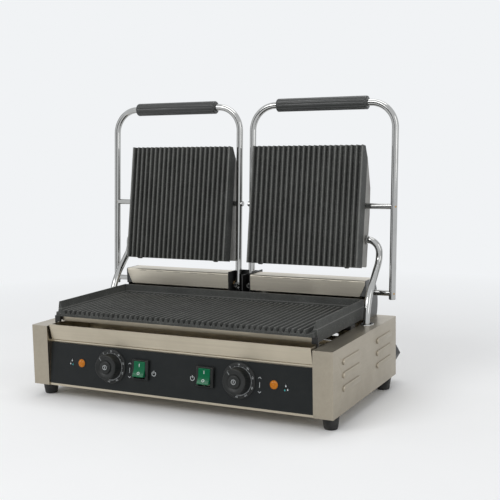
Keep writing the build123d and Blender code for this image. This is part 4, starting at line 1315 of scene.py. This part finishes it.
class GRILL_OT_lamps(Piece):
    """Amber signal lamps with cut facets in a thin collar"""

    bl_idname = "grill.lamps"
    bl_label = "Signal lamps"

    def execute(self, context):
        size = sizes()
        low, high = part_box("lamp_lenses")
        place_x = high.x - size.lamp_radius
        panel = panel_matrix(place_x)
        middle = Vector((place_x, (low.y + high.y) / 2, (low.z + high.z) / 2))
        offset = (panel.inverted() @ middle).y
        facets = 16
        tall = 3.0 * MM

        def star(reach, depth):
            return lambda angle: reach * (1 - depth * (0.5 - 0.5 * math.cos(facets * angle)))

        sides = facets * 4
        radius = size.lamp_radius
        lens = turned([(radius, 0), (radius, 0.9 * MM), (star(0.86 * radius, 0.06), 0.7 * tall),
                       (star(0.55 * radius, 0.18), tall), (star(0.34 * radius, 0.1), 0.8 * tall),
                       (0.1 * radius, tall)], sides)
        collar = washer(radius - 0.2 * MM, radius + 0.7 * MM, 0, 0.8 * MM)
        lenses, collars = [], []
        for _, side in SIDES:
            spot = shifted(panel_matrix(side * place_x), 0, offset)
            lenses.append(placed(lens, spot))
            collars.append(placed(collar, spot))
        build("lamp_domes", lenses, "lens_amber", "housing", slot="lens_amber", stands_for=["lamp_lenses"],
              sharp=math.radians(12))
        build("lamp_collars", collars, "knob_black", "housing", slot="knob_black")
        return {"FINISHED"}


def drop_outline(tall):
    """Outline of a drop with its point up."""
    radius = 0.3 * tall
    outline = [(0.0, tall - radius)]
    for index in range(21):
        angle = math.radians(145 + index * (250 / 20))
        outline.append((-radius * math.sin(angle - math.pi), radius * math.cos(angle - math.pi)))
    return outline


class GRILL_OT_panel_marks(Piece):
    """Printed marks on the panel: drops, power rings and arrows"""

    bl_idname = "grill.panel_marks"
    bl_label = "Panel marks"

    def execute(self, context):
        deep, proud = 0.1 * MM, sizes().print_depth
        line = 0.45 * MM
        ring_inner, ring_gap_and_painted_dash = 3.2 * MM, math.radians(32)
        ring = sector((ring_inner,) * 2, (ring_inner + 1.8 * line,) * 2, -deep, proud, ring_gap_and_painted_dash, 2 * math.pi - ring_gap_and_painted_dash)
        stroke = cuboid((-line, line), (0.6 * MM, 5.0 * MM), (-deep, proud))
        small_drop = along_z(drop_outline(5.0 * MM), -deep, proud)
        white, teal = [], []
        for x, y, turn in ((-204.5, -1.8, -1), (204.5, -4.8, 1)):
            panel = shifted(panel_matrix(x * MM), 0, y * MM)
            white.append(placed(small_drop, shifted(panel, 0, 4.4 * MM)))
            white.append(placed(small_drop, shifted(panel, turn * 3.3 * MM, -1.2 * MM)))
            teal.append(placed(small_drop, shifted(panel, -turn * 1.6 * MM, -2.2 * MM)))
        for x in (-37, 37):
            panel = shifted(panel_matrix(x * MM), 0, -4.8 * MM)
            white += [placed(ring, panel), placed(stroke, panel)]
        arm_length, thin = 3.4 * MM, (-0.7 * line, 0.7 * line)
        shaft = cuboid(thin, (-7.5 * MM, 1.0 * MM), (-deep, proud))
        for x in (-85, 159):
            panel = panel_matrix(x * MM)
            for y, run in ((9.2, (-arm_length, 0)), (-15.8, (0, arm_length))):
                arm = cuboid(thin, run, (-deep, proud))
                for lean in (-1, 1):
                    turn = Matrix.Rotation(lean * math.radians(50), 4, "Z")
                    white.append(placed(arm, shifted(panel, 0, y * MM) @ turn))
            white.append(placed(shaft, panel))
        build("panel_marks_white", white, "print_white", "housing")
        build("panel_marks_teal", teal, "print_teal", "housing")
        return {"FINISHED"}


class GRILL_OT_hinge(Piece):
    """Folded hinge covers with dark dashes along their upper bend as a painted reflection, grey ears and the
    black bracket between them
    """

    bl_idname = "grill.hinge"
    bl_label = "Hinge"

    def execute(self, context):
        for word, _ in SIDES:
            dressed(f"hinge_hood_{word}", f"hinge_cover_{word}", "stainless_hood", "stainless",
                    edge=0.45 * MM)
            dressed(f"hinge_end_{word}", f"hinge_ear_{word}", "ear_grey", "ear_grey", edge=0.4 * MM)
            self.painted_dashes(word)
        dressed("hinge_block", "hinge_bracket", "bracket_black", "bracket_black", edge=0.5 * MM)
        return {"FINISHED"}

    def painted_dashes(self, word):
        """Dark dashes along the upper edge of a hinge cover, a painted reflection of the bend's slight
        waviness.
        """
        low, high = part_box(f"hinge_cover_{word}")
        dash_length, dash_height, dash_pitch, count = 17 * MM, 0.7 * MM, 38 * MM, 5
        points = 12
        outline = []
        for index in range(2 * points):
            angle = math.pi * index / points
            outline.append((0.5 * dash_length * math.cos(angle), 0.5 * dash_height * math.sin(angle)))
        # Each dash is a painted dark reflection on the bend.
        ring_gap_and_painted_dash = mesh_of([along_y(outline, -0.05 * MM, 0.3 * MM)])
        middle = (low.x + high.x) / 2
        first = middle - (count - 1) * dash_pitch / 2
        mesh = grown("row", "seam_dark", ring_gap_and_painted_dash, Count=count, Start=(first, low.y, high.z - 3.0 * MM),
                     Pitch=(dash_pitch, 0, 0))
        piece(f"hinge_seams_{word}", mesh, "housing")


def frame_point(x, distance):
    """Point on the plane of the lifting frames, at a distance up from the hinge."""
    hinge = Vector(JOINTS["lid_right_hinge"]["pos_m"])
    pin = Vector(JOINTS["plate_right_tilt"]["pos_m"])
    point = hinge + (pin - hinge).normalized() * distance
    point.x = x
    return point


class GRILL_OT_lift_frames(Piece):
    """Bent chrome bars, their shafts, pins and screws, and the fluted grips"""

    bl_idname = "grill.lift_frames"
    bl_label = "Lifting frames"

    def execute(self, context):
        size = sizes()
        low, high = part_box("handle_frame_right")
        outer = high.x - size.rod_radius
        inner = low.x + size.rod_radius
        grip_distance, overhang, bend = 332.3 * MM, 11 * MM, 45 * MM
        for word, side in SIDES:
            corners = [frame_point(side * outer, -overhang), frame_point(side * outer, grip_distance),
                       frame_point(side * inner, grip_distance), frame_point(side * inner, -overhang)]
            build(f"frame_bar_{word}", [tube(bent_path(corners, bend), size.rod_radius)], "chrome",
                  f"lift_frame_{word}", slot="chrome", stands_for=[f"handle_frame_{word}"])
            self.rods(word, side, outer, inner)
            self.grip(word, side * (outer + inner) / 2, grip_distance)
        return {"FINISHED"}

    def rods(self, word, side, outer, inner):
        """Hinge shaft, plate pins, the socket screw at the inner leg with a flat dark hexagon painted as the
        shade of its recess, and the small cross screws.
        """
        body = f"lift_frame_{word}"
        radius = 5 * MM
        pin_distance = (Vector(JOINTS["plate_right_tilt"]["pos_m"])
                        - Vector(JOINTS["lid_right_hinge"]["pos_m"])).length
        shaft = bar(frame_point(side * (inner - 3 * MM), 0), frame_point(side * (outer + 2 * MM), 0), radius)
        build(f"hinge_rod_{word}", [shaft], "chrome", body, slot="chrome", stands_for=[f"hinge_shaft_{word}"])
        half = sizes().plate_size / 2
        plate_x = abs(plate_matrix(1).translation.x)
        reach = half - 14 * MM
        pins = [bar(frame_point(side * (plate_x + reach), pin_distance),
                    frame_point(side * (outer + 2 * MM), pin_distance), radius),
                bar(frame_point(side * (inner - 8.4 * MM), pin_distance),
                    frame_point(side * (plate_x - reach), pin_distance), radius)]
        build(f"plate_rods_{word}", pins, "chrome", body, slot="chrome", stands_for=[f"plate_pins_{word}"])
        painted("chrome", f"hinge_screw_{word}")
        low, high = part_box(f"hinge_screw_{word}")
        # A flat dark hexagon on the screw's face is painted shade for its socket recess.
        recess_shade = turned([(2.3 * MM, 0), (2.3 * MM, 0.05 * MM)], 6)
        facing_front = Matrix.Rotation(math.pi / 2, 4, "X")
        centre = Matrix.Translation(((low.x + high.x) / 2, low.y + 0.02 * MM, (low.z + high.z) / 2))
        build(f"socket_holes_{word}", [placed(recess_shade, centre @ facing_front)], "socket_dark", body)
        stud = [(1.7 * MM, 0), (1.7 * MM, 0.25 * MM), (1.2 * MM, 0.4 * MM), (0.2 * MM, 0.4 * MM)]
        look_out = math.radians(42)
        direction = Vector((math.cos(look_out), -math.sin(look_out), 0))
        turn_to = Vector((0, 0, 1)).rotation_difference(direction).to_matrix().to_4x4()
        seat = direction * (sizes().rod_radius - 0.2 * MM)
        places = [frame_point(side * x, distance) + seat
                  for x, distance in ((outer, 0.0), (outer, pin_distance), (inner, pin_distance))]
        studs = [placed(turned(stud, 20), Matrix.Translation(place) @ turn_to) for place in places]
        build(f"bar_studs_{word}", studs, "bush_bronze", body, slot="bush_bronze")

    def grip(self, word, middle_x, distance):
        """Moulded sleeve with lengthwise flutes and eased ends."""
        size = sizes()
        low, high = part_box(f"grip_{word}")
        half = (high.x - low.x) / 2
        radius, flutes = size.grip_radius, size.grip_flutes
        bore = size.rod_radius + 0.05 * MM
        sides = flutes * 10

        def section(depth):
            return lambda angle: radius - depth * max(0.0, math.cos(flutes * angle)) ** 0.7

        rows = [(bore, -half + 0.4 * MM), (bore + 0.6 * MM, -half), (radius - 2.0 * MM, -half),
                (radius - 0.7 * MM, -half + 0.6 * MM), (radius, -half + 2 * MM),
                (section(0), -half + 3.4 * MM),
                (section(1.0 * MM), -half + 5 * MM), (section(1.0 * MM), half - 5 * MM),
                (section(0), half - 3.4 * MM), (radius, half - 2 * MM), (radius - 0.7 * MM, half - 0.6 * MM),
                (radius - 2.0 * MM, half), (bore + 0.6 * MM, half), (bore, half - 0.4 * MM)]
        sleeve = lofted([circle(reach, height, sides) for reach, height in rows], loop=True)
        turn = Matrix.Rotation(math.pi / 2, 4, "Y")
        place = Matrix.Translation(frame_point(middle_x, distance))
        build(f"grip_sleeve_{word}", [placed(sleeve, place @ turn)], "grip_black", f"lift_frame_{word}",
              slot="grip_black", stands_for=[f"grip_{word}"], sharp=math.radians(50))


class GRILL_OT_upper_plates(Piece):
    """Ribbed upper castings and their painted covers"""

    bl_idname = "grill.upper_plates"
    bl_label = "Upper plates"

    def execute(self, context):
        for word, side in SIDES:
            self.casting(word, side)
            dressed(f"plate_hood_{word}", f"upper_cover_{word}", "plate_cover", "plate_cover", edge=0.6 * MM)
        return {"FINISHED"}

    def casting(self, word, side):
        size = sizes()
        half, tall = size.plate_size / 2, size.rib_height
        nose = half - size.plate_nose_run
        slab = along_x([(-half, -tall), (half, -tall), (half, -size.plate_nose_height),
                        (nose, -size.plate_side_height), (-half, -size.plate_side_height)], -half, half)
        ribs = int((size.plate_size - 3 * MM) // size.rib_pitch) - 1
        first = -(ribs - 1) * size.rib_pitch / 2
        land_root = -first + size.rib_pitch - size.rib_root / 2
        land_tip = -first + size.rib_pitch - size.rib_tip / 2
        eased = 0.4 * MM
        land = along_y([(land_root, -tall - SUNK), (land_root, -tall), (land_tip, -eased),
                        (land_tip + eased, 0), (half, 0), (half, -tall - SUNK)], -half, half)
        bump_height, bump_radius = 12 * MM, 3 * MM
        rim = 0.5 * MM
        stop = turned([(bump_radius - rim, 0), (bump_radius, rim), (bump_radius, bump_height - rim),
                       (bump_radius - rim, bump_height)], 24)
        stops = [placed(stop, Matrix.Translation((x, -half + 1 * MM, -18 * MM))) for x in (-84 * MM, 84 * MM)]
        base = mesh_of([slab, land, flipped(land), *stops])
        rib = rib_mesh(2 * half, 0)
        mesh = grown("row", "plate_iron", rib, base, Count=ribs, Start=(first, -half, -tall),
                     Pitch=(size.rib_pitch, 0, 0))
        mesh.transform(plate_matrix(side))
        piece(f"plate_casting_{word}", mesh, f"upper_plate_{word}", slot="plate_iron",
              stands_for=[f"upper_plate_{word}"], edge=0.5 * MM, sharp=math.radians(38))


class GRILL_OT_gland(Piece):
    """Cord gland and its nut at the back"""

    bl_idname = "grill.gland"
    bl_label = "Cord gland"

    def execute(self, context):
        dressed("gland_body", "cord_gland", "gland_black", "gland_black", edge=0.6 * MM)
        dressed("gland_cap", "gland_nut", "gland_black", "gland_black", edge=0.6 * MM)
        return {"FINISHED"}


class GRILL_OT_inner_parts(Piece):
    """Finishes of the CAD pieces that stay as they are"""

    bl_idname = "grill.inner_parts"
    bl_label = "Inner parts"

    def execute(self, context):
        painted("chrome", "conduit_left", "conduit_right")
        painted("element_steel", "lower_heaters", "upper_heater_left", "upper_heater_right")
        painted("insulation", "insulation_pad")
        painted("stainless", "heater_pan", "hinge_beam")
        painted("bush_bronze", "hinge_bushes")
        painted("spring_steel", "torsion_springs")
        painted("thermostat_metal", "thermostat_left", "thermostat_right", "thermostat_shaft_left",
                "thermostat_shaft_right")
        painted("terminal_white", "terminal_block")
        painted("lens_amber", "lamp_bodies")
        return {"FINISHED"}


class GRILL_OT_stage(Piece):
    """Camera, pale floor, backdrop and soft studio light"""

    bl_idname = "grill.stage"
    bl_label = "Stage"

    def execute(self, context):
        stage = context.scene.grill_stage
        self.camera(context, stage)
        self.floor(stage)
        self.world(context, stage)
        middle = Vector((0, 0, 0.25))
        for name, place, width, height, power in (
                ("key", (-0.9, -2.3, 1.9), 1.6, 1.2, stage.key_power),
                ("side", (2.4, -0.7, 1.2), 0.9, 1.5, stage.side_power),
                ("top", (0.1, 0.5, 2.6), 1.8, 1.2, stage.top_power)):
            self.softbox(name, Vector(place), middle, width, height, power)
        self.card("card_front", Vector((-0.6, -1.9, 0.75)), 0.72, 1.6)
        self.card("card_left", Vector((-1.9, 0.25, 0.6)), 0.50, 1.7)
        context.scene.view_settings.view_transform = "Standard"
        return {"FINISHED"}

    def camera(self, context, stage):
        data = bpy.data.cameras.new("camera")
        data.lens = stage.lens
        data.sensor_width = 36.0
        camera = linked("camera", data)
        place = Vector(stage.camera_place)
        ahead = (Vector(stage.camera_aim) - place).normalized()
        right = ahead.cross(Vector((0, 0, 1))).normalized()
        up = right.cross(ahead)
        turn = stage.camera_roll
        across = right * math.cos(turn) + up * math.sin(turn)
        above = up * math.cos(turn) - right * math.sin(turn)
        camera.matrix_world = standing(place, across, above, -ahead)
        context.scene.camera = camera

    def floor(self, stage):
        """Wide disc that fades into the backdrop away from the grill."""
        reach, sides = 9.0, 96
        mesh = bpy.data.meshes.new("floor")
        rim = [(reach * math.cos(a), reach * math.sin(a), -0.0003)
               for a in [2 * math.pi * i / sides for i in range(sides)]]
        mesh.from_pydata(rim, [], [tuple(range(sides))])
        made = bpy.data.materials.new("floor")
        made.use_nodes = True
        tree = made.node_tree
        tree.nodes.clear()
        place = node(tree, "ShaderNodeTexCoord").outputs["Object"]
        distance = node(tree, "ShaderNodeVectorMath", {0: place}, operation="LENGTH").outputs["Value"]
        far = span(tree, distance, 0.55, 1.5)
        grain = span(tree, noise(tree, place, 5.0, 3.0), 0.0, 1.0, 0.985, 1.015)
        tint = node(tree, "ShaderNodeCombineColor", {0: grain, 1: grain, 2: grain}).outputs[0]
        tone = blended(tree, 1.0, (0.95, 0.96, 0.97, 1.0), tint, "MULTIPLY")
        matt = node(tree, "ShaderNodeBsdfDiffuse", {"Color": tone}).outputs[0]
        glow = node(tree, "ShaderNodeEmission", {"Color": plain(stage.background)}).outputs[0]
        share = maths(tree, "MULTIPLY", far, seen_share(tree))
        both = node(tree, "ShaderNodeMixShader", {0: share, 1: matt, 2: glow}).outputs[0]
        node(tree, "ShaderNodeOutputMaterial", {"Surface": both})
        mesh.materials.append(made)
        linked("floor", mesh)

    def world(self, context, stage):
        """Pale backdrop for what is seen or mirrored, and an even fill for the rest."""
        world = bpy.data.worlds.new("studio")
        world.use_nodes = True
        context.scene.world = world
        tree = world.node_tree
        tree.nodes.clear()
        fill = node(tree, "ShaderNodeBackground", {"Color": (1, 1, 1, 1), "Strength": stage.fill}).outputs[0]
        pale = node(tree, "ShaderNodeBackground", {
            "Color": plain(stage.background), "Strength": 1.0}).outputs[0]
        both = node(tree, "ShaderNodeMixShader", {0: seen_share(tree), 1: fill, 2: pale}).outputs[0]
        node(tree, "ShaderNodeOutputWorld", {"Surface": both})

    def softbox(self, name, place, aim, width, height, power):
        data = bpy.data.lights.new(name, "AREA")
        data.shape = "RECTANGLE"
        data.size = width
        data.size_y = height
        data.energy = power
        light = linked(name, data)
        turn = (aim - place).to_track_quat("-Z", "Y").to_matrix().to_4x4()
        light.matrix_world = Matrix.Translation(place) @ turn

    def card(self, name, place, width, height):
        """Dark upright card that only the polished bars mirror."""
        mesh = bpy.data.meshes.new(name)
        aside = Vector((-place.y, place.x, 0)).normalized() * width / 2
        rise = Vector((0, 0, height / 2))
        corners = [place - aside - rise, place + aside - rise, place + aside + rise, place - aside + rise]
        mesh.from_pydata([tuple(corner) for corner in corners], [], [(0, 1, 2, 3)])
        mesh.materials.append(finish("socket_dark"))
        card = linked(name, mesh)
        card.visible_camera = False
        card.visible_diffuse = False
        card.visible_shadow = False
        card.visible_transmission = False


PIECES = (GRILL_OT_columns, GRILL_OT_sheets, GRILL_OT_screws, GRILL_OT_feet, GRILL_OT_griddle, GRILL_OT_tray,
          GRILL_OT_dials, GRILL_OT_knobs, GRILL_OT_switches, GRILL_OT_lamps, GRILL_OT_panel_marks,
          GRILL_OT_hinge, GRILL_OT_lift_frames, GRILL_OT_upper_plates, GRILL_OT_gland, GRILL_OT_inner_parts,
          GRILL_OT_stage)


class GRILL_PT_panel(bpy.types.Panel):
    """Lists the grill's pieces and settings in the sidebar"""

    bl_idname = "GRILL_PT_panel"
    bl_label = "Contact Grill"
    bl_space_type = "VIEW_3D"
    bl_region_type = "UI"
    bl_category = "Grill"

    def draw(self, context):
        layout = self.layout
        for made in PIECES:
            layout.operator(made.bl_idname)
        for settings in (context.scene.grill_sizes, context.scene.grill_colours, context.scene.grill_stage):
            box = layout.box()
            for name in settings.__annotations__:
                box.prop(settings, name)


CLASSES = (GrillSizes, GrillColours, GrillStage, *PIECES, GRILL_PT_panel)


def register():
    for made in CLASSES:
        bpy.utils.register_class(made)
    bpy.types.Scene.grill_sizes = bpy.props.PointerProperty(type=GrillSizes)
    bpy.types.Scene.grill_colours = bpy.props.PointerProperty(type=GrillColours)
    bpy.types.Scene.grill_stage = bpy.props.PointerProperty(type=GrillStage)


def unregister():
    del bpy.types.Scene.grill_stage
    del bpy.types.Scene.grill_colours
    del bpy.types.Scene.grill_sizes
    for made in reversed(CLASSES):
        bpy.utils.unregister_class(made)


def main():
    """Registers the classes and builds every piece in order."""
    register()
    for made in PIECES:
        getattr(bpy.ops.grill, made.bl_idname.split(".")[1])()


if __name__ == "__main__":
    main()
